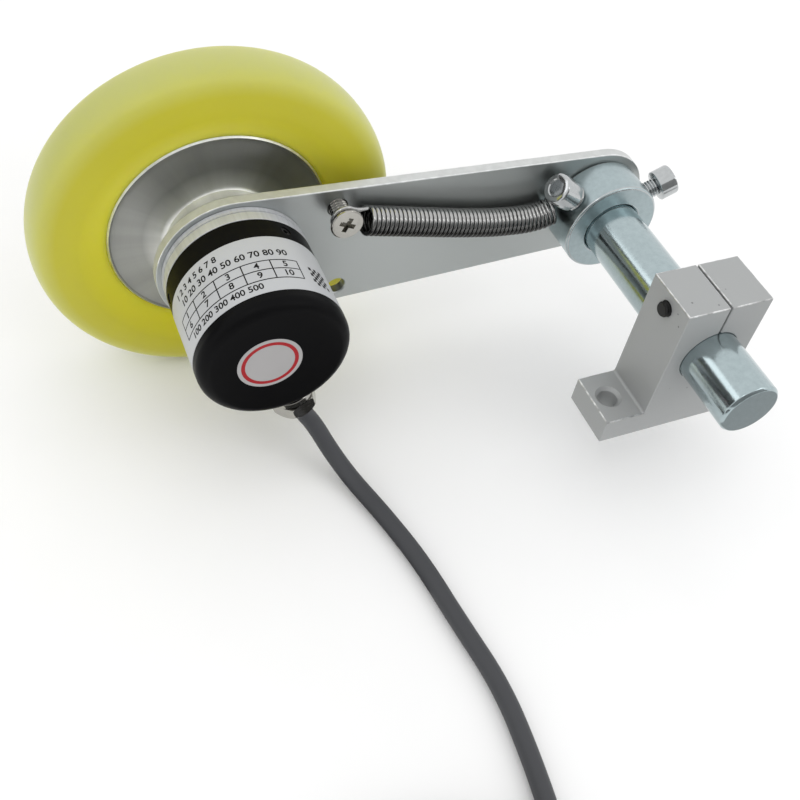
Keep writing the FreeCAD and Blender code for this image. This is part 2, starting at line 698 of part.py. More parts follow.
def encoder_cover():
    """The cup that closes the encoder, with a round-edged end, screw holes and a seat for the gland."""
    inner_end = COVER_END + COVER_WALL
    shell = along_y(ENCODER_AXIS, COVER_END, FLANGE_BACK, ENCODER_R)
    shell = shell.makeFillet(COVER_FILLET, [e for e in shell.Edges if e.BoundBox.YMax < COVER_END + TINY])
    hollow = along_y(ENCODER_AXIS, inner_end, FLANGE_BACK + OVER, COVER_BORE_R)
    corner = [e for e in hollow.Edges if e.BoundBox.YMax < inner_end + TINY]
    hollow = hollow.makeFillet(COVER_WALL / 2, corner)
    cuts = [hollow]
    for angle in even_angles(COVER_SCREW_FIRST, COVER_SCREW_COUNT):
        mouth = around(ENCODER_AXIS, FLANGE_BACK - COVER_SCREW_FROM_RIM, ENCODER_R + OVER, angle)
        hole_r = COVER_SCREW_D / 2 + SCREW_GAP
        cuts.append(Part.makeCylinder(hole_r, COVER_WALL + 2 * OVER, mouth, -spoke(angle)))
    way = spoke(GLAND_ANGLE)
    seat = around(ENCODER_AXIS, GLAND_Y, GLAND_SEAT_R, GLAND_ANGLE)
    cuts.append(Part.makeCylinder(GLAND_D / 2 + SLIP_GAP, COVER_WALL + OVER, seat, way))
    inside = seat - way * (COVER_WALL + OVER)
    cuts.append(Part.makeCylinder(GLAND_THREAD_D / 2 + SCREW_GAP, COVER_WALL + 2 * OVER, inside, way))
    keep("encoder_cover", shell.cut(cuts).removeSplitter())


def cover_fixings():
    """The small headless screws round the cover's rim, and the seal ring behind them."""
    screw = grub_screw(COVER_SCREW_D, COVER_SCREW_LENGTH)
    screws = []
    for angle in even_angles(COVER_SCREW_FIRST, COVER_SCREW_COUNT):
        top = around(ENCODER_AXIS, FLANGE_BACK - COVER_SCREW_FROM_RIM, ENCODER_R - COVER_SCREW_SUNK, angle)
        screws.append(placed(screw, top, spoke(angle)))
    keep("cover_screws", Part.makeCompound(screws))
    seal_y = FLANGE_BACK - SEAL_FROM_RIM - SEAL_WIRE_D / 2
    centre = V(ENCODER_AXIS.x, seal_y, ENCODER_AXIS.z)
    keep("cover_seal", Part.makeTorus(COVER_BORE_R - SEAL_WIRE_D / 2, SEAL_WIRE_D / 2, centre, V(0, 1, 0)))


def bearing(name, start):
    """A deep-groove ball bearing: outer ring, inner ring and balls."""
    end = start + BEARING_W
    middle = start + BEARING_W / 2
    pitch_r = (BEARING_BORE + BEARING_OD) / 4
    centre = V(ENCODER_AXIS.x, middle, ENCODER_AXIS.z)
    groove = Part.makeTorus(pitch_r, BALL_D / 2 + BALL_GAP, centre, V(0, 1, 0))
    outer = ring_y(ENCODER_AXIS, start, end, BEARING_OD / 2, BEARING_OD / 2 - RACE_WALL)
    inner = ring_y(ENCODER_AXIS, start, end, BEARING_BORE / 2 + RACE_WALL, BEARING_BORE / 2)
    keep(name + "_outer_ring", outer.cut(groove))
    keep(name + "_inner_ring", inner.cut(groove))
    balls = []
    for angle in even_angles(0, BALL_COUNT):
        balls.append(Part.makeSphere(BALL_D / 2, around(ENCODER_AXIS, middle, pitch_r, angle)))
    keep(name + "_balls", Part.makeCompound(balls))


def encoder_shaft():
    """The shaft that carries the wheel outside and the code disc inside, stepped between the bearings."""
    shaft_r = BEARING_BORE / 2
    step_low = INNER_BEARING + BEARING_W
    step_high = OUTER_BEARING
    end = RIM_BACK - HUB_SHAFT_INSET
    edge = SHAFT_END_CHAMFER
    inner_end = DISC_FRONT - DISC_HUB_LIP - SHAFT_END_PROUD
    profile = [
        (0, inner_end),
        (shaft_r, inner_end),
        (shaft_r, step_low),
        (SHAFT_STEP_D / 2, step_low),
        (SHAFT_STEP_D / 2, step_high),
        (shaft_r, step_high),
        (shaft_r, end - edge),
        (shaft_r - edge, end),
        (0, end),
    ]
    keep("encoder_shaft", turned_y(ENCODER_AXIS, profile))


def code_disc():
    """The code disc and the hub that carries it on the encoder shaft."""
    bore_r = BEARING_BORE / 2
    flange_back = DISC_HUB_FLANGE + DISC_HUB_FLANGE_T
    body_back = flange_back + DISC_HUB_BODY
    lip = DISC_FRONT - DISC_HUB_LIP
    profile = [
        (bore_r, lip),
        (DISC_HUB_D / 2, lip),
        (DISC_HUB_D / 2, DISC_HUB_FLANGE),
        (DISC_HUB_FLANGE_D / 2, DISC_HUB_FLANGE),
        (DISC_HUB_FLANGE_D / 2, flange_back),
        (DISC_HUB_D / 2, flange_back),
        (DISC_HUB_D / 2, body_back),
        (DISC_HUB_NECK_D / 2, body_back),
        (DISC_HUB_NECK_D / 2, INNER_BEARING),
        (bore_r, INNER_BEARING),
    ]
    keep("disc_hub", turned_y(ENCODER_AXIS, profile))
    hole_r = DISC_HUB_D / 2 + SCREW_GAP
    keep("code_disc", ring_y(ENCODER_AXIS, DISC_FRONT, DISC_HUB_FLANGE, DISC_D / 2, hole_r))


def reader_electronics():
    """The circuit board on its posts, the reader on the board and the lamp behind the disc."""
    board_front = BOARD_BACK - BOARD_T
    board = along_y(ENCODER_AXIS, board_front, BOARD_BACK, BOARD_D / 2)
    posts = []
    screws = []
    head = Part.makeCylinder(BOARD_SCREW_HEAD_D / 2, BOARD_SCREW_HEAD_H)
    length = BOARD_T + BOARD_SCREW_DEPTH
    shank = Part.makeCylinder(BOARD_SCREW_D / 2, length, V(0, 0, -length))
    screw = head.fuse(shank).removeSplitter()
    thread_r = BOARD_SCREW_D / 2 + SCREW_GAP
    thread_end = BOARD_BACK + BOARD_SCREW_DEPTH + DRILL_OVER
    for angle in even_angles(BOARD_POST_FIRST, BOARD_POST_COUNT):
        place = around(ENCODER_AXIS, 0, BOARD_POST_CIRCLE_R, angle)
        hole = along_y(place, board_front - OVER, thread_end, thread_r)
        post = along_y(place, BOARD_BACK, REGISTER_FACE + BOARD_POST_SUNK, BOARD_POST_D / 2)
        posts.append(post.cut(hole))
        board = board.cut(hole)
        screws.append(placed(screw, place + V(0, board_front, 0), V(0, -1, 0)))
    keep("circuit_board", board)
    keep("board_posts", Part.makeCompound(posts))
    keep("board_screws", Part.makeCompound(screws))
    half = READER_SIZE / 2
    reader_z = AXIS_H + READER_RADIUS - half
    reader_back = DISC_FRONT - READER_DISC_GAP
    corner = V(ENCODER_AXIS.x - half, BOARD_BACK, reader_z)
    keep("light_reader", Part.makeBox(READER_SIZE, reader_back - BOARD_BACK, READER_SIZE, corner))
    lamp_front = DISC_HUB_FLANGE + LAMP_DISC_GAP
    corner = V(ENCODER_AXIS.x - LAMP_W / 2, lamp_front, AXIS_H + CORE_R + HOLE_GAP)
    keep("lamp_block", Part.makeBox(LAMP_W, REGISTER_FACE - lamp_front, LAMP_DEPTH, corner))


def cable_gland():
    """The plated gland under the cover: seated body, domed hexagon nut and rubber seal."""
    way = spoke(GLAND_ANGLE)
    seat = around(ENCODER_AXIS, GLAND_Y, GLAND_SEAT_R, GLAND_ANGLE)
    cable_r = CABLE_D / 2 + SLIP_GAP
    nut_base = GLAND_FLANGE_T + GLAND_NUT_GAP
    nut_end = nut_base + GLAND_NUT_H
    seal_top = nut_end - GLAND_NUT_LIP
    seal_foot = seal_top - SEAL_H
    body = Part.makeCylinder(GLAND_D / 2, GLAND_FLANGE_T)
    neck = Part.makeCylinder(GLAND_THREAD_D / 2, GLAND_INSIDE + seal_foot, V(0, 0, -GLAND_INSIDE))
    bore = Part.makeCylinder(cable_r, GLAND_INSIDE + nut_end + 2 * OVER, V(0, 0, -GLAND_INSIDE - OVER))
    keep("gland_body", placed(body.fuse(neck).cut(bore).removeSplitter(), seat, way))
    dome = Part.makeSphere(GLAND_DOME_R, V(0, 0, nut_end - GLAND_DOME_DROP))
    nut = hexagon(GLAND_NUT_AF, nut_base, nut_end).common(dome)
    chamber_r = GLAND_THREAD_D / 2 + SCREW_GAP
    chamber = Part.makeCylinder(chamber_r, seal_top - nut_base + OVER, V(0, 0, nut_base - OVER))
    keep("gland_nut", placed(nut.cut([chamber, bore]).removeSplitter(), seat, way))
    seal = Part.makeCylinder(GLAND_THREAD_D / 2, SEAL_H, V(0, 0, seal_foot))
    grip = Part.makeCylinder(CABLE_D / 2, 3 * SEAL_H, V(0, 0, seal_foot - SEAL_H))
    keep("gland_seal", placed(seal.cut(grip), seat, way))


def hub_face_wire():
    """The wheel hub's turned outline, with its gently hollow front face as an arc."""
    bore_r = BEARING_BORE / 2
    boss_r = HUB_BOSS_D / 2
    edge = RIM_CHAMFER
    back_boss_r = HUB_BACK_BOSS_D / 2
    recess_r = RIM_R - HUB_RIM_WALL
    recess = RIM_BACK - HUB_BACK_RECESS
    line_points = [
        (RIM_R - edge, RIM_FRONT),
        (RIM_R, RIM_FRONT + edge),
        (RIM_R, RIM_BACK - edge),
        (RIM_R - edge, RIM_BACK),
        (recess_r, RIM_BACK),
        (recess_r - HUB_BACK_RECESS, recess),
        (back_boss_r + edge, recess),
        (back_boss_r, RIM_BACK - edge),
        (back_boss_r - edge, RIM_BACK),
        (bore_r, RIM_BACK),
        (bore_r, HUB_FRONT),
        (boss_r - edge, HUB_FRONT),
        (boss_r, HUB_FRONT + edge),
        (boss_r, HUB_FACE),
    ]
    points = [V(ENCODER_AXIS.x + radius, y, ENCODER_AXIS.z) for radius, y in line_points]
    edges = [Part.LineSegment(a, b).toShape() for a, b in zip(points, points[1:])]
    hollow = V(
        ENCODER_AXIS.x + (boss_r + RIM_R) / 2, HUB_FACE + HUB_FACE_RISE / 2 + HUB_FACE_HOLLOW, ENCODER_AXIS.z
    )
    edges.append(Part.Arc(points[-1], hollow, points[0]).toShape())
    return Part.Wire(edges)


def wheel():
    """The turned hub, the cast tyre bonded to its rim and the two screws that grip the shaft."""
    hub = turned_wire(ENCODER_AXIS, hub_face_wire())
    screw = grub_screw(HUB_SCREW_D, HUB_SCREW_LENGTH)
    screws = []
    screw_y = HUB_FRONT + HUB_SCREW_FROM_FRONT
    tip_r = BEARING_BORE / 2 + SCREW_GAP
    for angle in HUB_SCREW_ANGLES:
        centre = V(ENCODER_AXIS.x, screw_y, ENCODER_AXIS.z)
        hub = hub.cut(Part.makeCylinder(HUB_SCREW_D / 2 + SCREW_GAP, HUB_BOSS_D, centre, spoke(angle)))
        top = around(ENCODER_AXIS, screw_y, tip_r + HUB_SCREW_LENGTH, angle)
        screws.append(placed(screw, top, spoke(angle)))
    keep("wheel_hub", hub.removeSplitter())
    keep("hub_set_screws", Part.makeCompound(screws))
    half_rim = RIM_W / 2
    half = TYRE_W / 2
    shoulder = half * TYRE_SHOULDER_SHARE
    shoulder_r = TYRE_BELLY_R + (WHEEL_R - TYRE_BELLY_R) * TYRE_SHOULDER_SHARE
    section = [
        (-half_rim, RIM_R),
        (-half, TYRE_BELLY_R),
        (-shoulder, shoulder_r),
        (0, WHEEL_R),
        (shoulder, shoulder_r),
        (half, TYRE_BELLY_R),
        (half_rim, RIM_R),
    ]
    points = [V(ENCODER_AXIS.x + radius, WHEEL_MID + across, ENCODER_AXIS.z) for across, radius in section]
    crown = Part.BSplineCurve()
    crown.interpolate(points)
    seat = Part.LineSegment(points[-1], points[0])
    keep("wheel_tyre", turned_wire(ENCODER_AXIS, Part.Wire([crown.toShape(), seat.toShape()])))


def cable_path(points):
    """Straight runs joined by tangent arcs, each arc as large as its two runs allow."""
    edges = []
    radii = []
    start = points[0]
    for before, corner, after in zip(points, points[1:], points[2:]):
        towards = corner - before
        away = after - corner
        reach = CABLE_ARC_SHARE * min(towards.Length, away.Length)
        half_turn = towards.getAngle(away) / 2
        radius = reach / math.tan(half_turn)
        towards.normalize()
        away.normalize()
        first = corner - towards * reach
        last = corner + away * reach
        inward = (away - towards).normalize()
        middle = corner + inward * (radius / math.cos(half_turn) - radius)
        edges.append(Part.LineSegment(start, first).toShape())
        edges.append(Part.Arc(first, middle, last).toShape())
        radii.append(round(radius, 1))
        start = last
    edges.append(Part.LineSegment(start, points[-1]).toShape())
    return Part.Wire(edges), radii


def cable_tube(name, points):
    """A plain round cable along a route."""
    path, radii = cable_path(points)
    section = Part.Wire([Part.makeCircle(CABLE_D / 2, points[0], points[1] - points[0])])
    tube = path.makePipeShell([section], True, False)
    full = math.pi * CABLE_D ** 2 / 4 * path.Length
    share = round(tube.Volume / full, 4)
    print(name, "radii", radii, "length", round(path.Length, 1), "volume share", share)
    keep(name, tube)


def signal_cable():
    """The cable from the gland to the coil, the coil with its tie, the tail and its stripped leads."""
    start = around(ENCODER_AXIS, GLAND_Y, CABLE_START_R, GLAND_ANGLE)
    cable_tube("signal_cable", [start] + [CABLE_LIES + point for point in CABLE_ROUTE])
    coil = CABLE_LIES + COIL_FROM_GLAND
    centre = V(coil.x, coil.y, FLOOR_Z + TIE_T + COIL_BUNDLE_R)
    keep("cable_coil", Part.makeTorus(COIL_R, COIL_BUNDLE_R, centre, V(0, 0, 1)))
    turn = math.radians(TIE_ANGLE)
    outward = V(math.cos(turn), math.sin(turn), 0)
    along = V(-math.sin(turn), math.cos(turn), 0)
    foot = centre + outward * COIL_R - along * (TIE_W / 2)
    band = Part.makeCylinder(COIL_BUNDLE_R + TIE_T, TIE_W, foot, along)
    hollow = Part.makeCylinder(COIL_BUNDLE_R - TIE_GRIP, TIE_W, foot, along)
    keep("coil_tie", band.cut(hollow))
    tail = [coil + point for point in TAIL_ROUTE]
    cable_tube("cable_tail", tail)
    end = tail[-1]
    heading = (end - tail[-2]).normalize()
    across = V(0, 0, 1).cross(heading)
    leads = []
    for ring_angle, fan_angle in LEAD_FAN:
        ring = math.radians(ring_angle)
        fan = math.radians(-fan_angle)
        root = end + (across * -math.cos(ring) + V(0, 0, 1) * math.sin(ring)) * LEAD_RING_R
        tip = end + (heading * math.cos(fan) + across * math.sin(fan)) * LEAD_LENGTH
        tip.z = FLOOR_Z + LEAD_D / 2
        leads.append(Part.makeCylinder(LEAD_D / 2, (tip - root).Length, root, tip - root))
    keep("cable_leads", Part.makeCompound(leads))


def build():
    """Makes every piece and writes one file for each."""
    support_block()
    block_clamp_screw()
    pivot_shaft()
    arm_retainer()
    tension_collar()
    arm_plate()
    pivot_bush()
    spring_post_screw()
    tension_spring()
    encoder_flange()
    flange_screws()
    encoder_cover()
    cover_fixings()
    bearing("front_bearing", OUTER_BEARING)
    bearing("rear_bearing", INNER_BEARING)
    encoder_shaft()
    code_disc()
    reader_electronics()
    cable_gland()
    wheel()
    signal_cable()
    os.makedirs("parts", exist_ok=True)
    for name, shape in NODES.items():
        shape.exportStep("parts/" + name + ".step")


build()
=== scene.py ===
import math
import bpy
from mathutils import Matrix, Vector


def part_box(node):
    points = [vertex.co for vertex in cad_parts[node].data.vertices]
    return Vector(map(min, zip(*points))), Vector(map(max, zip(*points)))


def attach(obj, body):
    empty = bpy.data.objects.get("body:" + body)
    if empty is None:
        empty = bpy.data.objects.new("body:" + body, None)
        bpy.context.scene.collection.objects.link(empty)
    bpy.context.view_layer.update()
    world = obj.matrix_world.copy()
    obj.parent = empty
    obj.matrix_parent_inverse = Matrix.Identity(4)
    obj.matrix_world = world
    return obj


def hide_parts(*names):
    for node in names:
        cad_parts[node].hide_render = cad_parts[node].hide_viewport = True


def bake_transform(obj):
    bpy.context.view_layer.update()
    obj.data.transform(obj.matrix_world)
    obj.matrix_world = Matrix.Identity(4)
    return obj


bl_info = {
    "name": "Measuring wheel encoder",
    "version": (1, 0, 0),
    "blender": (4, 5, 0),
    "location": "3D View > Sidebar > Encoder",
    "description": "Dresses the measuring wheel encoder in its metal, tyre, spring, label and cable",
    "category": "Object",
}

import bpy
from bpy.props import FloatProperty, FloatVectorProperty, IntProperty, PointerProperty
from mathutils import Matrix, Vector

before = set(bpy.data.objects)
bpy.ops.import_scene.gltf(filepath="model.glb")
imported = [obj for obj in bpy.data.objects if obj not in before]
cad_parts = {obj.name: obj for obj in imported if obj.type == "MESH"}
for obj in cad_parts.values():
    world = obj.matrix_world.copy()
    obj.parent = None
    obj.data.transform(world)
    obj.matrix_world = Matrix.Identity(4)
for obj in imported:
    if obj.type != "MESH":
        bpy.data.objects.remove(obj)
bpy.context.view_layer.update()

# Sizes are in millimetres, apart from the stage's, which are in metres as Blender's own are
MM = 0.001
ALONG_Y = (0, 1, 0)
# Points closer than this are one point
WELD = 0.002
# Edges with a sharper turn than this, in degrees, are broken and keep a line in the shading
SHARP = 35.0
# A thread's depth as a share of its pitch
THREAD_DEPTH = 0.45


def low(node):
    """A CAD node's lowest corner in millimetres."""
    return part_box(node)[0] / MM


def high(node):
    """A CAD node's highest corner in millimetres."""
    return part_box(node)[1] / MM


def middle(node):
    """The middle of a CAD node's box in millimetres."""
    return (low(node) + high(node)) / 2


# Places that the frame gives
ENCODER = middle("encoder_shaft")
PIVOT = middle("pivot_shaft")
FLOOR = low("wheel_tyre").z
PLATE_FRONT = low("arm_plate").y
PLATE_BACK = high("arm_plate").y
COVER_END = low("encoder_cover").y
COVER_RIM = high("encoder_cover").y
COLLAR_FRONT = low("tension_collar").y
COLLAR_BACK = high("tension_collar").y
COLLAR_MID = Vector((PIVOT.x, middle("tension_collar").y, PIVOT.z))
RIM_FRONT = low("wheel_tyre").y
HUB_FRONT = low("wheel_hub").y
HUB_BACK = high("wheel_hub").y
BLOCK_TOP = high("support_block").z
POST = middle("spring_post_screw")
GLAND = Vector((ENCODER.x, middle("gland_body").y, ENCODER.z))
GLAND_WAY = (middle("gland_nut") - GLAND).normalized()

# Sizes that more than one piece shares
BODY_RADIUS = 19.0
GLAND_SEAT = 18.1
BAR_BORE = 8.04
HUB_RIM = 29.3
ANCHOR_ANGLE = 144.0
LOOP_RADIUS = 3.35

# The photograph's camera, in the block's frame
CAMERA_PLACE = (-160.21, -131.49, 208.63)
CAMERA_AZIMUTH = -30.706
CAMERA_ELEVATION = 49.669
CAMERA_ROLL = 10.806
CAMERA_LENS = 46.15

# The cable's route, as in the part's source: gland, floor, then the tied coil and the tail
CABLE_ROUTE = (
    (-99.31, 26.0, 9.5),
    (-96.1, 26.0, -0.39),
    (-92.3, 24.6, -6.4),
    (-89.0, 20.0, -13.4),
    (-85.4, 11.6, -17.6),
    (-81.3, -0.4, -18.35),
    (-77.2, -17.0, -18.35),
    (-75.0, -36.0, -18.35),
    (-72.2, -55.0, -18.35),
    (-73.4, -74.0, -18.35),
    (-76.2, -92.0, -17.6),
    (-75.6, -110.0, -15.7),
)
COIL_CENTRE = Vector((-107.0, -112.0, FLOOR + 7.0))
COIL_RADIUS = 27.0
COIL_STRAND_OFFSET = 4.35
COIL_TURNS = 4.25
COIL_POINTS_PER_TURN = 16
COIL_FIRST_ANGLE = -18.0
COIL_ANGLE_PER_TURN = 72.0
TAIL_ROUTE = (
    (-121.0, -141.2, -18.35),
    (-136.0, -137.0, -18.35),
    (-150.0, -135.0, -18.35),
)
LEAD_COLOURS = ("#B3252B", "#1E1E1E", "#2C8A47", "#E4E2DC", "#DDBE2A")
# Each lead's angle round the sheath's end and the angle that it fans out to
LEAD_FAN = ((162.0, -24.0), (234.0, -12.0), (90.0, 0.0), (306.0, 12.0), (18.0, 24.0))

# The slack spring's middle line from the post to the collar, as (x, z)
SPRING_LINE = (
    (-72.8, 38.9),
    (-59.8, 35.75),
    (-46.8, 32.63),
    (-35.4, 30.27),
    (-29.0, 29.46),
    (-23.9, 29.1),
    (-19.6, 29.48),
    (-16.3, 30.5),
)
# The mesh attribute that says how high a point of the spring lies on its coil, from -1 below to 1 above; the
# spring's finish turns it into painted shade below and painted highlight above
COIL_HEIGHT = "coil_height"


def linear(code):
    """Turns an sRGB hex colour into linear red, green, blue and alpha."""
    parts = [int(code[i : i + 2], 16) / 255 for i in (1, 3, 5)]
    return tuple(c / 12.92 if c <= 0.04045 else ((c + 0.055) / 1.055) ** 2.4 for c in parts) + (1.0,)


def darker(base, share):
    """A colour whose red, green and blue are multiplied by a share."""
    return tuple(share * c for c in base[:3]) + (1.0,)


def colour(code, label, about):
    """A colour property with its default as a hex value."""
    return FloatVectorProperty(
        name=label, description=about, subtype="COLOR", size=4, default=linear(code), min=0, max=1
    )


def length(value, label, about):
    """A length property whose default is in millimetres."""
    return FloatProperty(name=label, description=about, default=value * MM, min=0, unit="LENGTH", precision=5)


def power(value, label, about):
    """A light's power in watts."""
    return FloatProperty(name=label, description=about, default=value, min=0, unit="POWER")


class EncoderSizes(bpy.types.PropertyGroup):
    """Sizes that change the looks but not the part."""

    cable_diameter: length(4.8, "Cable", "Outside diameter of the cable's sheath")
    spring_diameter: length(7.9, "Spring", "Outside diameter of the tension spring")
    spring_wire: length(1.15, "Spring wire", "Diameter of the spring's wire")
    spring_turns: IntProperty(
        name="Spring turns", description="Coils in the spring's body", default=45, min=10, max=80
    )
    edge: length(0.3, "Block edge", "Width of the broken edges on the block and arm")
    label_lift: length(0.06, "Label film", "How far the label film stands off the cover")


class EncoderColours(bpy.types.PropertyGroup):
    """Colours of the finishes."""

    tyre: colour("#C6C024", "Tyre", "Cast polyurethane of the tyre")
    block: colour("#A8AAAA", "Block", "Blasted and anodised aluminium of the support block")
    plate: colour("#B8BCBB", "Arm", "Satin aluminium sheet of the arm")
    turned: colour("#A7A8A5", "Hub", "Turned aluminium of the hub")
    zinc: colour("#B3C1C4", "Zinc", "Blue-white zinc plating of the shaft and collar")
    cover: colour("#101011", "Cover", "Black anodised cover")
    cable: colour("#47484B", "Cable", "Sheath of the cable")
    film: colour("#BFC1C4", "Label", "Printed film of the label")
    ring: colour("#A5252B", "Ring", "Printed ring on the end sticker")


class EncoderStage(bpy.types.PropertyGroup):
    """Light of the stage."""

    key_power: power(2.4, "Top light", "Power of the soft light overhead")
    fill_power: power(0.25, "Glint light", "Power of the small light on the camera's side")
    edge_power: power(1.1, "Edge light", "Power of the light that shows the broken edges")
    back_power: power(0.3, "Back light", "Power of the light behind that streaks the round bars")
    sky: FloatProperty(
        name="Sky", description="Strength of the even light from all sides", default=0.9, min=0, max=1
    )


def sizes():
    """The sizes that the panel shows."""
    return bpy.context.scene.encoder_sizes


def colours():
    """The colours that the panel shows."""
    return bpy.context.scene.encoder_colours


# Modelling by hand: everything is deselected first, because loading leaves the CAD nodes selected


def fresh():
    """Leaves edit mode and deselects all objects."""
    if bpy.context.object and bpy.context.object.mode != "OBJECT":
        bpy.ops.object.mode_set(mode="OBJECT")
    bpy.ops.object.select_all(action="DESELECT")


def only(piece):
    """Selects one object and makes it active."""
    fresh()
    piece.select_set(True)
    bpy.context.view_layer.objects.active = piece


def applied(piece, kind, **settings):
    """Adds a modifier with its settings and applies it."""
    only(piece)
    made = piece.modifiers.new(kind.title(), kind)
    for key, value in settings.items():
        setattr(made, key, value)
    bpy.ops.object.modifier_apply(modifier=made.name)
    return piece


def line_of(points):
    """A new object whose mesh is one run of edges through points in millimetres, in edit mode."""
    fresh()
    bpy.ops.mesh.primitive_plane_add(size=MM)
    piece = bpy.context.object
    bpy.ops.object.mode_set(mode="EDIT")
    bpy.ops.mesh.merge(type="CENTER")
    here = Vector(points[0])
    bpy.ops.transform.translate(value=here * MM)
    for point in points[1:]:
        step = Vector(point) - here
        bpy.ops.mesh.extrude_region_move(TRANSFORM_OT_translate={"value": step * MM})
        here = Vector(point)
    bpy.ops.mesh.select_all(action="SELECT")
    return piece


def welded(piece):
    """Merges the points that meet, turns the faces outwards and leaves edit mode."""
    bpy.ops.mesh.select_all(action="SELECT")
    bpy.ops.mesh.remove_doubles(threshold=WELD * MM)
    bpy.ops.mesh.normals_make_consistent(inside=False)
    bpy.ops.object.mode_set(mode="OBJECT")
    return piece


def lathe(profile, steps):
    """Turns a run of (radius, height) points round Z."""
    piece = line_of([(radius, 0, height) for radius, height in profile])
    bpy.ops.mesh.spin(steps=steps, angle=math.tau, center=(0, 0, 0), axis=(0, 0, 1))
    return welded(piece)


def turned_bar(points, steps):
    """Turns a run of points into a bar that closes on its axis at both ends."""
    return lathe([(0, points[0][1]), *points, (0, points[-1][1])], steps)


def turned_ring(points, steps):
    """Turns a run of points that closes on itself into a ring."""
    return lathe([*points, points[0]], steps)


def flat_ring(inner, outer, start, end):
    """The corners of a ring with a square section."""
    return (inner, start), (outer, start), (outer, end), (inner, end)


def prism(outline, depth):
    """Fills a closed outline of (x, z) points and extrudes it along Y."""
    piece = line_of([(x, 0, z) for x, z in [*outline, outline[0]]])
    bpy.ops.mesh.edge_face_add()
    bpy.ops.mesh.extrude_region_move(TRANSFORM_OT_translate={"value": (0, depth * MM, 0)})
    return welded(piece)


def cuboid(size, place=(0, 0, 0), unit=MM):
    """A block of that size about a place."""
    fresh()
    bpy.ops.mesh.primitive_cube_add(size=1, location=Vector(place) * unit)
    piece = bpy.context.object
    piece.scale = Vector(size) * unit
    bpy.ops.object.transform_apply(location=True, scale=True)
    return piece


def hexagon_bar(across_flats, depth):
    """A hexagonal bar that stands on z = 0."""
    fresh()
    bpy.ops.mesh.primitive_cylinder_add(
        vertices=6, radius=across_flats / math.sqrt(3) * MM, depth=depth * MM, location=(0, 0, depth * MM / 2)
    )
    bpy.ops.object.transform_apply(location=True)
    return bpy.context.object


def wire(name, points, radius, order, round_steps, run_steps):
    """A round wire along one smooth curve that the points steer."""
    curve = bpy.data.curves.new(name, "CURVE")
    curve.dimensions = "3D"
    curve.resolution_u = run_steps
    curve.bevel_depth = radius * MM
    curve.bevel_resolution = round_steps
    curve.use_fill_caps = True
    spline = curve.splines.new("NURBS")
    spline.points.add(len(points) - 1)
    for point, place in zip(spline.points, points):
        point.co = (*(Vector(place) * MM), 1.0)
    spline.order_u = order
    spline.use_endpoint_u = True
    piece = bpy.data.objects.new(name, curve)
    bpy.context.scene.collection.objects.link(piece)
    return piece


def meshed(piece):
    """Turns a wire into a mesh and leaves it active."""
    only(piece)
    bpy.ops.object.convert(target="MESH")
    return bpy.context.object


def set_at(piece, place, direction=(0, 0, 1), turn=0.0):
    """Puts a piece that was made along Z at a place, pointing along a direction, and applies that."""
    only(piece)
    aim = Vector((0, 0, 1)).rotation_difference(Vector(direction)).to_matrix().to_4x4()
    spun = Matrix.Rotation(math.radians(turn), 4, "Z")
    piece.matrix_world = Matrix.Translation(Vector(place) * MM) @ aim @ spun
    bpy.ops.object.transform_apply(location=True, rotation=True, scale=True)
    return piece


def on_axis(piece, axis, y=0.0):
    """Lays a turned piece along the Y axis that runs through a point."""
    return set_at(piece, (axis.x, y, axis.z), ALONG_Y)


def cut(piece, *tools):
    """Cuts tools out of a piece and removes them."""
    for tool in tools:
        applied(piece, "BOOLEAN", operation="DIFFERENCE", solver="EXACT", object=tool)
        bpy.data.objects.remove(tool)
    return piece


def joined(piece, *others):
    """Joins other pieces into the first."""
    only(piece)
    for other in others:
        other.select_set(True)
    bpy.ops.object.join()
    return piece


def edged(piece, width, segments, *finishes):
    """Breaks the sharp edges; where two finishes are given, the broken edges get the second."""
    for name in finishes:
        piece.data.materials.append(finish(name))
    settings = {"limit_method": "ANGLE", "angle_limit": math.radians(SHARP), "material": len(finishes) - 1}
    return applied(piece, "BEVEL", width=width * MM, segments=segments, **settings)


def rubbed_above(piece):
    """Keeps the bright finish of broken edges to those that face upwards, as a painted highlight where the
    top light falls on them.
    """
    least_up = 0.2
    for face in piece.data.polygons:
        if face.material_index == 1 and face.normal.z < least_up:
            face.material_index = 0
    return piece


def smoothed(piece, angle):
    """Shades a piece smooth up to an angle."""
    only(piece)
    bpy.ops.object.shade_smooth_by_angle(angle=math.radians(angle))
    return piece


def shaded(piece, angle=SHARP):
    """Shades a piece smooth up to an angle, with its flat faces flat."""
    return applied(smoothed(piece, angle), "WEIGHTED_NORMAL", keep_sharp=True, weight=60)


def softened(piece, width, segments):
    """Breaks the sharp edges and shades the piece."""
    return shaded(edged(piece, width, segments))


def settled(piece, name, body, finish_name, slot, *nodes):
    """Names a finished piece, gives it its finish, ties it to its body and hides the CAD nodes it stands for.
    """
    piece.name = name
    piece.data.name = name
    if finish_name:
        piece.data.materials.clear()
        piece.data.materials.append(finish(finish_name))
    if body:
        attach(piece, body)
    if nodes:
        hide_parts(*nodes)
    return piece


def arc(centre, radius, first, last, count):
    """Points on an arc, given by its centre, radius and end angles."""
    points = []
    for step in range(count + 1):
        angle = math.radians(first + (last - first) * step / count)
        points.append((centre[0] + radius * math.cos(angle), centre[1] + radius * math.sin(angle)))
    return points


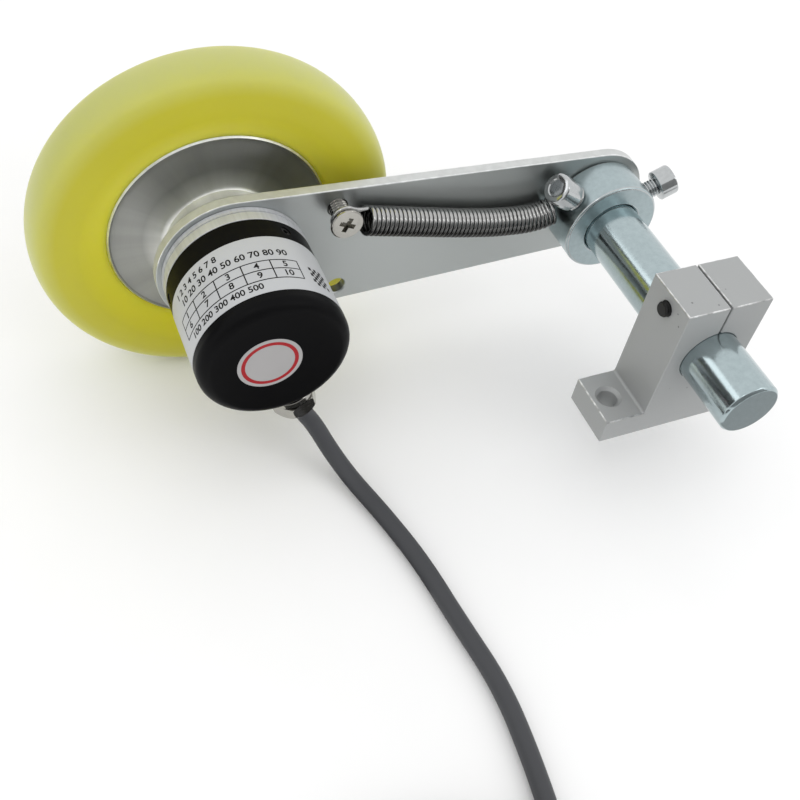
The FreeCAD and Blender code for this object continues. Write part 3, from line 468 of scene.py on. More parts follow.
def through(stations, parts):
    """Points on a smooth line through stations, each run divided into parts."""
    knots = [0.0]
    for a, b in zip(stations, stations[1:]):
        knots.append(knots[-1] + math.dist(a, b))
    slopes = []
    for i in range(len(stations)):
        before, after = max(i - 1, 0), min(i + 1, len(stations) - 1)
        span = knots[after] - knots[before]
        slopes.append([(b - a) / span for a, b in zip(stations[before], stations[after])])
    points = []
    for i in range(len(stations) - 1):
        span = knots[i + 1] - knots[i]
        for step in range(parts + (i == len(stations) - 2)):
            t = step / parts
            ease = (2 * t**3 - 3 * t**2 + 1, t**3 - 2 * t**2 + t, 3 * t**2 - 2 * t**3, t**3 - t**2)
            points.append(tuple(
                ease[0] * p0 + ease[1] * span * m0 + ease[2] * p1 + ease[3] * span * m1
                for p0, m0, p1, m1 in zip(stations[i], slopes[i], stations[i + 1], slopes[i + 1])
            ))
    return points


def evenly(points, count):
    """Places and headings at even steps along a run of points."""
    runs = [0.0]
    for a, b in zip(points, points[1:]):
        runs.append(runs[-1] + (b - a).length)
    places = []
    index = 0
    for step in range(count + 1):
        goal = runs[-1] * step / count
        while index < len(points) - 2 and runs[index + 1] < goal:
            index += 1
        a, b = points[index], points[index + 1]
        share = (goal - runs[index]) / (runs[index + 1] - runs[index])
        places.append((a.lerp(b, share), (b - a).normalized()))
    return places


def spoke(angle):
    """The unit vector at an angle round an axis along Y, from +X towards +Z."""
    turn = math.radians(angle)
    return Vector((math.cos(turn), 0, math.sin(turn)))


def threaded(radius, pitch, start, end):
    """Profile points of a thread's crests and roots from one height to another."""
    points = []
    count = max(1, int(abs(end - start) / pitch))
    step = (end - start) / count
    root = radius - THREAD_DEPTH * pitch
    for turn in range(count):
        base = start + step * turn
        points += [(root, base), (radius, base + step * 0.35), (radius, base + step * 0.65)]
    return [*points, (root, end)]


def cap_screw(diameter, shank, head_d, head_h, socket, pitch):
    """A socket cap screw along Z: its head stands on z = 0 and its threaded shank reaches down."""
    edge = 0.12 * head_h
    radius = diameter / 2
    head_r = head_d / 2
    socket_r = 0.6 * socket
    under, lip = 0.15, 0.25
    points = [(radius - THREAD_DEPTH * pitch, -shank)]
    points += threaded(radius, pitch, -shank + 0.2, -0.3)
    points += [
        (head_r - under, 0),
        (head_r, under),
        (head_r, head_h - edge),
        (head_r - 0.3 * edge, head_h - 0.3 * edge),
        (head_r - edge, head_h),
        (socket_r + lip, head_h),
        (socket_r, head_h - lip),
    ]
    socket_tool = set_at(hexagon_bar(socket, head_h), (0, 0, 0.42 * head_h))
    return shaded(cut(turned_bar(points, 64), socket_tool))


# Materials: each one is named for what the real surface is

# A colour mixed with a tone by multiplying them
TINT = {"data_type": "RGBA", "blend_type": "MULTIPLY"}


def fill(node, inputs):
    """Sets a node's inputs, or links them to a socket or to another node's first live output."""
    for socket, value in inputs.items():
        if isinstance(value, bpy.types.Node):
            value = next(output for output in value.outputs if output.enabled)
        if isinstance(value, bpy.types.NodeSocket):
            node.id_data.links.new(value, node.inputs[socket])
        else:
            node.inputs[socket].default_value = value


def add(tree, kind, inputs=(), **settings):
    """Adds one node with its settings and inputs."""
    made = tree.nodes.new(kind)
    for key, value in settings.items():
        setattr(made, key, value)
    fill(made, dict(inputs))
    return made


def material(name):
    """A material with its output, a Principled shader and its object coordinates."""
    made = bpy.data.materials.get(name) or bpy.data.materials.new(name)
    made.use_nodes = True
    tree = made.node_tree
    tree.nodes.clear()
    shader = add(tree, "ShaderNodeBsdfPrincipled")
    add(tree, "ShaderNodeOutputMaterial", {"Surface": shader})
    place = add(tree, "ShaderNodeTexCoord").outputs["Object"]
    return made, tree, shader, place


def per_mm(size):
    """A texture scale that repeats about once in a size given in millimetres."""
    return 1 / (size * MM)


def about_encoder(tree, place):
    """How far a point lies from the encoder's axis in X and in Z, and its place along it."""
    axis = (-ENCODER.x * MM, 0, -ENCODER.z * MM)
    centred = add(tree, "ShaderNodeMapping", {"Vector": place, "Location": axis})
    parts = add(tree, "ShaderNodeSeparateXYZ", {"Vector": centred}).outputs
    return parts["X"], parts["Z"], parts["Y"]


def tyre_polyurethane():
    """Cast polyurethane: it glows a little, with a matte mould skin and faint clouds; its colour is painted
    brighter at the hub rim against the shade there, and paler at the tread as a painted sheen.
    """
    made, tree, shader, place = material("cast polyurethane")
    tread = 47.7
    across, up = about_encoder(tree, place)[:2]
    flat = add(tree, "ShaderNodeCombineXYZ", {"X": across, "Y": up})
    reach = add(tree, "ShaderNodeVectorMath", {0: flat}, operation="LENGTH")
    span = {"Value": reach, "From Min": HUB_RIM * MM, "From Max": tread * MM}
    ramp = add(tree, "ShaderNodeValToRGB", {"Fac": add(tree, "ShaderNodeMapRange", span)})
    stops = ramp.color_ramp.elements
    # Painted light: brighter than the tyre's own colour at the hub rim, lifting the shade beside the hub
    stops[0].color = linear("#F2EA26")
    # Painted sheen: the tread is painted pale
    stops[1].color = linear("#BBBD6F")
    stops.new(0.42).color = colours().tyre
    stops.new(0.7).color = linear("#BDB82A")
    cloud = add(tree, "ShaderNodeTexNoise", {"Vector": place, "Scale": per_mm(22), "Detail": 3.0})
    tone = add(tree, "ShaderNodeMapRange", {"Value": cloud, "To Min": 0.95, "To Max": 1.03})
    skin = add(tree, "ShaderNodeTexNoise", {"Vector": place, "Scale": per_mm(0.5), "Detail": 2.0})
    fill(shader, {
        "Base Color": add(tree, "ShaderNodeMix", {"Factor": 1.0, "A": ramp, "B": tone}, **TINT),
        "Roughness": add(tree, "ShaderNodeMapRange", {"Value": skin, "To Min": 0.42, "To Max": 0.56}),
        "Normal": add(tree, "ShaderNodeBump", {"Height": skin, "Strength": 0.08, "Distance": 0.05 * MM}),
        "Subsurface Weight": 0.9,
        "Subsurface Radius": (1.0, 0.9, 0.25),
        "Subsurface Scale": 9 * MM,
        "IOR": 1.45,
        "Sheen Weight": 0.2,
        "Sheen Roughness": 0.45,
    })
    return made


def blasted_aluminium():
    """Blasted and clear anodised aluminium: pale grey, fine even grain and a few dark scuffs."""
    made, tree, shader, place = material("blasted anodised aluminium")
    # The blast's grain is drawn coarse, so that it shows
    grain = add(tree, "ShaderNodeTexNoise", {"Vector": place, "Scale": per_mm(0.35), "Detail": 3.0})
    cloud = add(tree, "ShaderNodeTexNoise", {"Vector": place, "Scale": per_mm(9), "Detail": 4.0})
    scuff = add(tree, "ShaderNodeTexVoronoi", {"Vector": place, "Scale": per_mm(5.5)})
    mark = add(tree, "ShaderNodeMapRange", {"Value": scuff, "From Min": 0.035, "From Max": 0.06})
    tone = add(tree, "ShaderNodeMapRange", {"Value": cloud, "To Min": 0.93, "To Max": 1.03})
    worn = add(tree, "ShaderNodeMath", {0: tone, 1: mark}, operation="MULTIPLY")
    keep = add(tree, "ShaderNodeMapRange", {"Value": worn, "To Min": 0.45, "To Max": 1.0})
    fill(shader, {
        "Base Color": add(tree, "ShaderNodeMix", {"Factor": 1.0, "A": colours().block, "B": keep}, **TINT),
        "Roughness": add(tree, "ShaderNodeMapRange", {"Value": cloud, "To Min": 0.45, "To Max": 0.58}),
        "Normal": add(tree, "ShaderNodeBump", {"Height": grain, "Strength": 0.12, "Distance": 0.04 * MM}),
        "Metallic": 0.3,
    })
    return made


def satin_sheet():
    """Rolled aluminium sheet: fine lines along the arm, a soft shine and a few dark specks."""
    made, tree, shader, place = material("rolled aluminium sheet")
    along = add(tree, "ShaderNodeMapping", {"Vector": place, "Scale": (0.02, 1, 1)})
    # The rolling lines are drawn coarse, so that they show
    lines = add(tree, "ShaderNodeTexNoise", {"Vector": along, "Scale": per_mm(0.3), "Detail": 3.0})
    cloud = add(tree, "ShaderNodeTexNoise", {"Vector": place, "Scale": per_mm(12), "Detail": 4.0})
    speck = add(tree, "ShaderNodeTexVoronoi", {"Vector": place, "Scale": per_mm(8)})
    mark = add(tree, "ShaderNodeMapRange", {"Value": speck, "From Min": 0.025, "From Max": 0.045})
    keep = add(tree, "ShaderNodeMapRange", {"Value": mark, "To Min": 0.5, "To Max": 1.0})
    both = add(tree, "ShaderNodeMath", {0: lines, 1: cloud}, operation="ADD")
    shine = {"Value": both, "From Max": 2.0, "To Min": 0.34, "To Max": 0.46}
    fill(shader, {
        "Base Color": add(tree, "ShaderNodeMix", {"Factor": 1.0, "A": colours().plate, "B": keep}, **TINT),
        "Roughness": add(tree, "ShaderNodeMapRange", shine),
        "Normal": add(tree, "ShaderNodeBump", {"Height": lines, "Strength": 0.05, "Distance": 0.02 * MM}),
        "Metallic": 1.0,
    })
    return made


def turned_aluminium(name, base, neck, ring, smooth, dull, metal, streak):
    """Turned aluminium: rings that soften the shine, faint rays across them painted as streaks of highlight,
    and a neck tone that on the hub is a painted glow.
    """
    made, tree, shader, place = material(name)
    neck_end, cone_start = 15.2 * MM, 20.5 * MM
    back_start, back_end = (RIM_FRONT + 3) * MM, (RIM_FRONT + 5) * MM
    across, up, along = about_encoder(tree, place)
    flat = add(tree, "ShaderNodeCombineXYZ", {"X": across, "Y": up})
    reach = add(tree, "ShaderNodeVectorMath", {0: flat}, operation="LENGTH")
    ringed = add(tree, "ShaderNodeCombineXYZ", {"X": reach, "Y": along})
    # The turning rings are drawn coarse, so that they show
    rings = add(tree, "ShaderNodeTexNoise", {"Vector": ringed, "Scale": per_mm(ring), "Detail": 3.0})
    broad = add(tree, "ShaderNodeTexNoise", {"Vector": ringed, "Scale": per_mm(6 * ring), "Detail": 2.0})
    tone = add(tree, "ShaderNodeMapRange", {"Value": broad, "To Min": 0.92, "To Max": 1.05})
    # Painted highlight: faint rays round the axis lighten and darken the colour as streaks of shine
    outward = add(tree, "ShaderNodeVectorMath", {0: flat}, operation="NORMALIZE")
    rays = add(tree, "ShaderNodeTexNoise", {"Vector": outward, "Scale": streak, "Detail": 3.0})
    glint = add(tree, "ShaderNodeMapRange", {"Value": rays, "To Min": 0.72, "To Max": 1.2})
    light = add(tree, "ShaderNodeMath", {0: tone, 1: glint}, operation="MULTIPLY")
    # Painted glow: round the neck and in front of the rim the colour takes the neck's tone, which is brighter
    # on the hub
    away = add(tree, "ShaderNodeMapRange", {"Value": reach, "From Min": neck_end, "From Max": cone_start})
    behind = add(tree, "ShaderNodeMapRange", {"Value": along, "From Min": back_start, "From Max": back_end})
    plain = add(tree, "ShaderNodeMath", {0: away, 1: behind}, operation="MAXIMUM")
    painted_glow = add(tree, "ShaderNodeMix", {"Factor": plain, "A": neck, "B": base}, data_type="RGBA")
    fill(shader, {
        "Base Color": add(tree, "ShaderNodeMix", {"Factor": 1.0, "A": painted_glow, "B": light}, **TINT),
        "Roughness": add(tree, "ShaderNodeMapRange", {"Value": rings, "To Min": smooth, "To Max": dull}),
        "Normal": add(tree, "ShaderNodeBump", {"Height": rings, "Strength": 0.1, "Distance": 0.03 * MM}),
        "Metallic": metal,
    })
    return made


def zinc_plate(name, deep, smooth, dull):
    """Blue-white zinc on drawn steel: bright, a little cloudy and pitted, with faint lines along the bar."""
    made, tree, shader, place = material(name)
    along = add(tree, "ShaderNodeMapping", {"Vector": place, "Scale": (1, 0.03, 1)})
    lines = add(tree, "ShaderNodeTexNoise", {"Vector": along, "Scale": per_mm(0.6), "Detail": 4.0})
    spots = {"Vector": place, "Scale": per_mm(1.6), "Detail": 5.0, "Roughness": 0.7}
    cloud = add(tree, "ShaderNodeTexNoise", spots)
    pits = add(tree, "ShaderNodeTexNoise", {"Vector": place, "Scale": per_mm(0.4), "Detail": 2.0})
    ramp = add(tree, "ShaderNodeValToRGB", {"Fac": cloud})
    dark, pale = ramp.color_ramp.elements
    dark.color = linear(deep)
    dark.position = 0.3
    pale.color = colours().zinc
    pale.position = 0.7
    drawn = add(tree, "ShaderNodeBump", {"Height": lines, "Strength": 0.06, "Distance": 0.03 * MM})
    pitted = {"Height": pits, "Strength": 0.4, "Distance": 0.03 * MM, "Normal": drawn}
    fill(shader, {
        "Base Color": ramp,
        "Roughness": add(tree, "ShaderNodeMapRange", {"Value": cloud, "To Min": smooth, "To Max": dull}),
        "Normal": add(tree, "ShaderNodeBump", pitted),
        "Metallic": 1.0,
    })
    return made


def plain_metal(name, code, smooth, dull, grain, deep=0.93, metal=1.0):
    """Plated, drawn or ground metal: one tone with small changes of shine from handling."""
    made, tree, shader, place = material(name)
    cloud = add(tree, "ShaderNodeTexNoise", {"Vector": place, "Scale": per_mm(grain), "Detail": 4.0})
    ramp = add(tree, "ShaderNodeValToRGB", {"Fac": cloud})
    dark, pale = ramp.color_ramp.elements
    dark.color = darker(linear(code), deep)
    dark.position = 0.35
    pale.color = linear(code)
    pale.position = 0.65
    fill(shader, {
        "Base Color": ramp,
        "Roughness": add(tree, "ShaderNodeMapRange", {"Value": cloud, "To Min": smooth, "To Max": dull}),
        "Metallic": metal,
    })
    return made


def spring_wire():
    """Drawn spring steel: painted highlight along the top of each coil, and painted shade that darkens it
    below.
    """
    made, tree, shader, place = material("drawn spring steel")
    cloud = add(tree, "ShaderNodeTexNoise", {"Vector": place, "Scale": per_mm(0.8), "Detail": 4.0})
    rise = add(tree, "ShaderNodeAttribute", attribute_name=COIL_HEIGHT).outputs["Fac"]
    # Painted shade and highlight: the colour runs from dark under each coil to bright along its top
    film = add(tree, "ShaderNodeMapRange", {"Value": rise, "From Min": -0.1, "From Max": 1.0})
    ramp = add(tree, "ShaderNodeValToRGB", {"Fac": film})
    painted_shade_below, bright = ramp.color_ramp.elements
    painted_shade_below.color = linear("#3E3E3D")
    bright.color = linear("#B4B4B3")
    fill(shader, {
        "Base Color": ramp,
        "Roughness": add(tree, "ShaderNodeMapRange", {"Value": cloud, "To Min": 0.05, "To Max": 0.14}),
        "Metallic": 1.0,
    })
    return made


def moulded(name, base, smooth, dull, grain, gloss=0.5):
    """Moulded or coated surface: even colour, a fine skin and small changes of shine."""
    made, tree, shader, place = material(name)
    skin = add(tree, "ShaderNodeTexNoise", {"Vector": place, "Scale": per_mm(grain), "Detail": 3.0})
    cloud = add(tree, "ShaderNodeTexNoise", {"Vector": place, "Scale": per_mm(20 * grain), "Detail": 3.0})
    ramp = add(tree, "ShaderNodeValToRGB", {"Fac": cloud})
    dark, pale = ramp.color_ramp.elements
    dark.color = darker(base, 0.88)
    pale.color = tuple(base)
    fill(shader, {
        "Base Color": ramp,
        "Roughness": add(tree, "ShaderNodeMapRange", {"Value": cloud, "To Min": smooth, "To Max": dull}),
        "Normal": add(tree, "ShaderNodeBump", {"Height": skin, "Strength": 0.1, "Distance": 0.04 * MM}),
        "Specular IOR Level": gloss,
    })
    return made


def disc_glass():
    """Clear glass of the code disc, with fine dark windows."""
    made, tree, shader, place = material("etched glass")
    windows = 90.0
    across, up = about_encoder(tree, place)[:2]
    angle = add(tree, "ShaderNodeMath", {0: up, 1: across}, operation="ARCTAN2")
    spin = add(tree, "ShaderNodeMath", {0: angle, 1: windows}, operation="MULTIPLY")
    wave = add(tree, "ShaderNodeMath", {0: spin}, operation="SINE")
    dark = add(tree, "ShaderNodeMath", {0: wave, 1: 0.0}, operation="GREATER_THAN")
    tones = {"Factor": dark, "A": linear("#DFE8EA"), "B": linear("#5A6468")}
    fill(shader, {
        "Base Color": add(tree, "ShaderNodeMix", tones, data_type="RGBA"),
        "Roughness": 0.05,
        "Transmission Weight": 0.6,
    })
    return made


# Plain metals: name, colour, roughness from and to, grain, share of the darker tone, metallic
METALS = {
    # The two bright edge finishes are painted highlight along the broken edges, over real rubbing of the
    # metal
    "edge": ("rubbed aluminium edge", "#F0F1F1", 0.25, 0.4, 2.2, 0.45),
    "plate_edge": ("burnished aluminium edge", "#EEF0F0", 0.25, 0.4, 2.0, 0.8),
    "plate_rim": ("milled aluminium rim", "#D2D4D3", 0.4, 0.52, 2.0, 0.9, 0.5),
    "nickel": ("nickel plate", "#B4B2AC", 0.07, 0.18, 1.5),
    "bright_zinc": ("bright zinc screw", "#BFC2C3", 0.08, 0.2, 1.2),
    "bronze": ("sintered bronze", "#A98555", 0.35, 0.5, 0.6),
    "bearing": ("ground bearing steel", "#CFCFCF", 0.08, 0.16, 1.0),
    "copper": ("tinned copper strand", "#C79A76", 0.25, 0.4, 0.4),
}
# Moulded and coated surfaces: name, colour or colour property, roughness from and to, grain, gloss
COATS = {
    "black_screw": ("black oxide steel", "#151515", 0.3, 0.48, 0.3, 0.3),
    "cover": ("black anodised aluminium", "cover", 0.3, 0.42, 0.25, 0.05),
    "cable": ("grey PVC sheath", "cable", 0.42, 0.6, 0.4, 0.3),
    "film": ("printed polyester film", "film", 0.32, 0.42, 0.6, 0.35),
    "sticker": ("matte paper", "#ACAAAA", 0.5, 0.6, 0.5, 0.3),
    "ink": ("black printing ink", "#101012", 0.45, 0.55, 0.3, 0.15),
    "red_ink": ("red printing ink", "ring", 0.4, 0.5, 0.3, 0.2),
    "rubber": ("nitrile rubber", "#1A1A1A", 0.6, 0.75, 0.4),
    "black_plastic": ("black nylon", "#161617", 0.4, 0.55, 0.4),
    "laminate": ("green solder mask", "#1F6A3A", 0.3, 0.4, 0.5),
}
# Finishes with a function of their own
OTHERS = {
    "tyre": tyre_polyurethane,
    "block": blasted_aluminium,
    "plate": satin_sheet,
    # The hub's brighter neck tone is a painted glow; both turned finishes carry painted highlight rays
    "hub": lambda: turned_aluminium(
        "turned aluminium hub", colours().turned, linear("#EDEEEA"), 0.5, 0.36, 0.52, 1.0, 3.5
    ),
    "flange": lambda: turned_aluminium(
        "turned aluminium flange", linear("#C9CBCE"), linear("#C9CBCE"), 0.35, 0.3, 0.45, 0.35, 16.0
    ),
    "zinc": lambda: zinc_plate("bright zinc plate", "#A8B6B9", 0.1, 0.22),
    "dull_zinc": lambda: zinc_plate("blue-white zinc plate", "#A4B2B5", 0.26, 0.38),
    "spring": spring_wire,
    "glass": disc_glass,
}
FINISHES = {}


def new_finish(name):
    """Makes the finish of that name."""
    if name in METALS:
        return plain_metal(*METALS[name])
    if name in COATS:
        label, code, *rest = COATS[name]
        base = linear(code) if code.startswith("#") else getattr(colours(), code)
        return moulded(label, base, *rest)
    return OTHERS[name]()


def finish(name):
    """The finish of that name, made once."""
    if name not in FINISHES:
        FINISHES[name] = new_finish(name)
    return FINISHES[name]


class ENCODER_OT_stage(bpy.types.Operator):
    """Makes the camera, the pale floor, the soft lights and the white surround"""

    bl_idname = "encoder.stage"
    bl_label = "Stage and camera"

    # The point in metres that the lights face
    AIM = Vector((-0.06, 0.02, 0.02))
    # Lights in metres: name, place, power property, width and whether it shows in shiny metal
    LIGHTS = (
        ("top_light", (0.0, -0.2, 1.1), "key_power", 1.6, False),
        ("glint_light", (-0.4, -0.25, 0.75), "fill_power", 0.16, True),
        ("edge_light", (0.52, -0.64, 0.57), "edge_power", 0.5, True),
        ("back_light", (-0.7, 0.43, 0.55), "back_power", 0.35, True),
    )
    # Cards in metres: name, place, the way they face, width, height and two close tones
    CARDS = (
        ("front_card", (-0.1, -0.4, 0.2), (0, 1, 0), 1.2, 0.5, "#848484", "#949494"),
        ("side_card", (-0.5, 0.35, 0.15), (0.82, -0.56, 0), 0.7, 0.36, "#444444", "#545454"),
        ("low_card", (0.045, -0.08, -0.019), (0, 0, 1), 0.12, 0.1, "#A8A8A8", "#B4B4B4"),
        ("gland_card", (-0.088, -0.006, -0.0195), (0, 0, 1), 0.05, 0.04, "#2A2A2A", "#363636"),
    )

    def execute(self, context):
        scene = context.scene
        scene.view_settings.view_transform = "Standard"
        self.camera(scene)
        for name, place, power_name, width, shines in self.LIGHTS:
            bpy.ops.object.light_add(type="AREA", location=place)
            lamp = context.object
            lamp.name = name
            lamp.data.energy = getattr(scene.encoder_stage, power_name)
            lamp.data.shape = "SQUARE"
            lamp.data.size = width
            lamp.visible_glossy = shines
            lamp.rotation_euler = (self.AIM - Vector(place)).to_track_quat("-Z", "Y").to_euler()
        self.surround(scene, scene.encoder_stage.sky)
        self.floor()
        for card in self.CARDS:
            self.card(*card)
        return {"FINISHED"}

    def camera(self, scene):
        """Sets up the photograph's camera."""
        az, el, roll = (math.radians(a) for a in (CAMERA_AZIMUTH, CAMERA_ELEVATION, CAMERA_ROLL))
        back = Vector((math.sin(az) * math.cos(el), -math.cos(az) * math.cos(el), math.sin(el)))
        right = Vector((math.cos(az), math.sin(az), 0))
        up = back.cross(right)
        tilted_right = right * math.cos(roll) + up * math.sin(roll)
        tilted_up = up * math.cos(roll) - right * math.sin(roll)
        fresh()
        bpy.ops.object.camera_add()
        camera = bpy.context.object
        turn = Matrix((tilted_right, tilted_up, back)).transposed().to_4x4()
        camera.matrix_world = Matrix.Translation(Vector(CAMERA_PLACE) * MM) @ turn
        camera.data.lens = CAMERA_LENS
        camera.data.sensor_width = 36
        camera.data.clip_start = 0.01
        camera.data.dof.use_dof = False
        scene.camera = camera

    def surround(self, scene, sky):
        """White for the camera, shine and glass; the set strength for everything else."""
        world = bpy.data.worlds.new("studio white")
        scene.world = world
        world.use_nodes = True
        tree = world.node_tree
        tree.nodes.clear()
        path = add(tree, "ShaderNodeLightPath").outputs
        seen = path["Is Camera Ray"]
        for ray in ("Is Glossy Ray", "Is Transmission Ray"):
            seen = add(tree, "ShaderNodeMath", {0: seen, 1: path[ray]}, operation="MAXIMUM")
        strength = add(tree, "ShaderNodeMapRange", {"Value": seen, "To Min": sky, "To Max": 1.0})
        light = add(tree, "ShaderNodeBackground", {"Color": linear("#FFFFFF"), "Strength": strength})
        add(tree, "ShaderNodeOutputWorld", {"Surface": light})

    def board(self, name, place, size, surface, grain, tones, gloss):
        """A flat board whose surface runs between two close tones."""
        fresh()
        bpy.ops.mesh.primitive_plane_add(size=size, location=place)
        board = bpy.context.object
        board.name = name
        made, tree, shader, where = material(surface)
        weave = add(tree, "ShaderNodeTexNoise", {"Vector": where, "Scale": per_mm(grain), "Detail": 2.0})
        tone = add(tree, "ShaderNodeValToRGB", {"Fac": weave})
        for stop, code in zip(tone.color_ramp.elements, tones):
            stop.color = linear(code)
        fill(shader, {"Base Color": tone, "Roughness": 0.9, "Specular IOR Level": gloss})
        board.data.materials.append(made)
        return board

    def floor(self):
        """A wide pale floor at the wheel's lowest point."""
        place = (0, 0, FLOOR * MM)
        floor = self.board("floor", place, 6.0, "pale studio floor", 40, ("#F8F8F8", "#FDFDFD"), 0.1)

    def card(self, name, place, facing, width, height, *tones):
        """A card that only shows as a darker streak in polished metal."""
        card = self.board(name, place, 1, name + " felt", 30, tones, 0.5)
        card.scale = (width, height, 1)
        card.rotation_euler = Vector(facing).to_track_quat("Z", "Y").to_euler()
        for kind in ("camera", "diffuse", "transmission", "shadow", "volume_scatter"):
            setattr(card, "visible_" + kind, False)


class ENCODER_OT_cable(bpy.types.Operator):
    """Lays the signal cable from the gland to its tied coil, with its tie and stripped leads"""

    bl_idname = "encoder.cable"
    bl_label = "Signal cable"

    def execute(self, context):
        diameter = sizes().cable_diameter
        points = [*CABLE_ROUTE, *self.coil(), *TAIL_ROUTE]
        cable = wire("signal_cable", points, diameter / MM / 2, order=3, round_steps=5, run_steps=8)
        settled(cable, "cable_run", "arm", "cable", "cable_pvc", "signal_cable", "cable_coil", "cable_tail")
        tie = self.tie()
        leads = self.leads()
        return {"FINISHED"}

    def coil(self):
        """The coil's turns, which wander round the bundle's middle line."""
        points = []
        for step in range(1, int(COIL_TURNS * COIL_POINTS_PER_TURN) + 1):
            turns = step / COIL_POINTS_PER_TURN
            angle = -math.tau * turns
            across = math.radians(COIL_FIRST_ANGLE + COIL_ANGLE_PER_TURN * turns)
            radius = COIL_RADIUS + COIL_STRAND_OFFSET * math.cos(across)
            rise = COIL_STRAND_OFFSET * math.sin(across)
            points.append(COIL_CENTRE + Vector((radius * math.cos(angle), radius * math.sin(angle), rise)))
        return points

    def tie(self):
        """A flat nylon tie round the bundle, with its square lock on the outside."""
        turn = math.radians(150)
        thick, half_width = 0.5, 1.8
        lock_size, lock_lift = (4.6, 2.2, 5.0), 0.8
        bundle = COIL_STRAND_OFFSET + 2.45
        strap = turned_ring(flat_ring(bundle, bundle + thick, -half_width, half_width), 48)
        lock = cuboid(lock_size, (0, bundle + lock_lift, 0))
        joined(strap, softened(lock, 0.5, 3))
        softened(strap, 0.12, 2)
        outward = Vector((math.cos(turn), math.sin(turn), 0))
        along = Vector((-math.sin(turn), math.cos(turn), 0))
        set_at(strap, COIL_CENTRE + outward * COIL_RADIUS, along)
        return settled(strap, "coil_strap", "arm", "black_plastic", "black_plastic", "coil_tie")

    def leads(self):
        """Five coloured leads that fan out of the sheath, each stripped at its tip."""
        ring_radius, reach, tip_lift = 1.5, 26, 0.65
        # How far each lead starts inside the sheath and where it bends, as shares of its length
        inside, bend_at = 0.08, 0.4
        # Radius of the sleeve and of the strand, and how far along the lead each runs
        layers = ((0.62, 0.8), (0.3, 1.0))
        end = Vector(TAIL_ROUTE[-1])
        heading = (end - Vector(TAIL_ROUTE[-2])).normalized()
        side = Vector((-heading.y, heading.x, 0))
        made = []
        for code, (ring, fan) in zip(LEAD_COLOURS, LEAD_FAN):
            ring_angle, fan_angle = math.radians(ring), math.radians(-fan)
            root = end + (side * -math.cos(ring_angle) + Vector((0, 0, math.sin(ring_angle)))) * ring_radius
            tip = end + (heading * math.cos(fan_angle) + side * math.sin(fan_angle)) * reach
            tip.z = FLOOR + tip_lift
            root -= (tip - root) * inside
            bend = root.lerp(tip, bend_at)
            parts = []
            for radius, last in layers:
                stops = (root, bend, bend.lerp(tip, 0.5 * last), bend.lerp(tip, last))
                parts.append(meshed(wire("lead", stops, radius, order=3, round_steps=3, run_steps=12)))
            name = "lead_%d" % (len(made) + 1)
            parts[0].data.materials.append(moulded(name + " sleeve", linear(code), 0.4, 0.5, 0.4))
            parts[1].data.materials.append(finish("copper"))
            lead = smoothed(joined(*parts), 40)
            nodes = () if made else ("cable_leads",)
            made.append(settled(lead, name, "arm", None, "lead_copper", *nodes))
        return made


class ENCODER_OT_support(bpy.types.Operator):
    """Models the split support block and its clamp screw"""

    bl_idname = "encoder.support"
    bl_label = "Support block"

    def execute(self, context):
        foot, post, foot_top, fillet = 24.0, 12.5, 8.0, 0.8
        slot, seat = 0.3, 8.5
        bolt, bolt_reach, chamfer, over = 2.75, 19.0, 0.9, 1
        height = middle("block_clamp_screw").z
        front, back = low("support_block").y, high("support_block").y
        mouth = math.degrees(math.asin(slot / BAR_BORE))
        outline = [(-foot, 0), (foot, 0), (foot, foot_top)]
        outline += arc((post + fillet, foot_top + fillet), fillet, -90, -180, 5)
        outline += [(post, BLOCK_TOP), (slot, BLOCK_TOP)]
        outline += arc((PIVOT.x, PIVOT.z), BAR_BORE, 90 - mouth, mouth - 270, 80)
        outline += [(-slot, BLOCK_TOP), (-post, BLOCK_TOP)]
        outline += arc((-post - fillet, foot_top + fillet), fillet, 0, -90, 5)
        outline += [(-foot, foot_top)]
        block = set_at(prism(outline, back - front), (0, front, 0))
        # The block's upward broken edges get a painted highlight
        rubbed_above(edged(block, sizes().edge / MM, 3, "block", "edge"))
        hole = ((bolt, -over), (bolt, foot_top - chamfer), (bolt + chamfer + over, foot_top + over))
        tools = [set_at(turned_bar(hole, 48), (side * bolt_reach, 0, 0)) for side in (-1, 1)]
        tapped = ((2.15, 0), (2.15, 13.2), (2.6, 13.6), (2.6, 15))
        tools.append(set_at(turned_bar(tapped, 48), (0.6, 0, height), (-1, 0, 0)))
        sink = ((2.25, 0), (2.25, seat), (3.75, seat), (3.75, 14))
        tools.append(set_at(turned_bar(sink, 48), (0, 0, height), (1, 0, 0)))
        shaded(cut(block, *tools))
        settled(block, "clamp_block", "support", None, "support_aluminium", "support_block")
        shank = seat + post + 1.6
        screw = cap_screw(diameter=4.0, shank=shank, head_d=7.0, head_h=3.9, socket=3.0, pitch=0.7)
        set_at(screw, (seat, 0, height), (1, 0, 0))
        nodes = ("block_clamp_screw",)
        settled(screw, "clamp_screw", "support", "black_screw", "black_oxide_steel", *nodes)
        return {"FINISHED"}


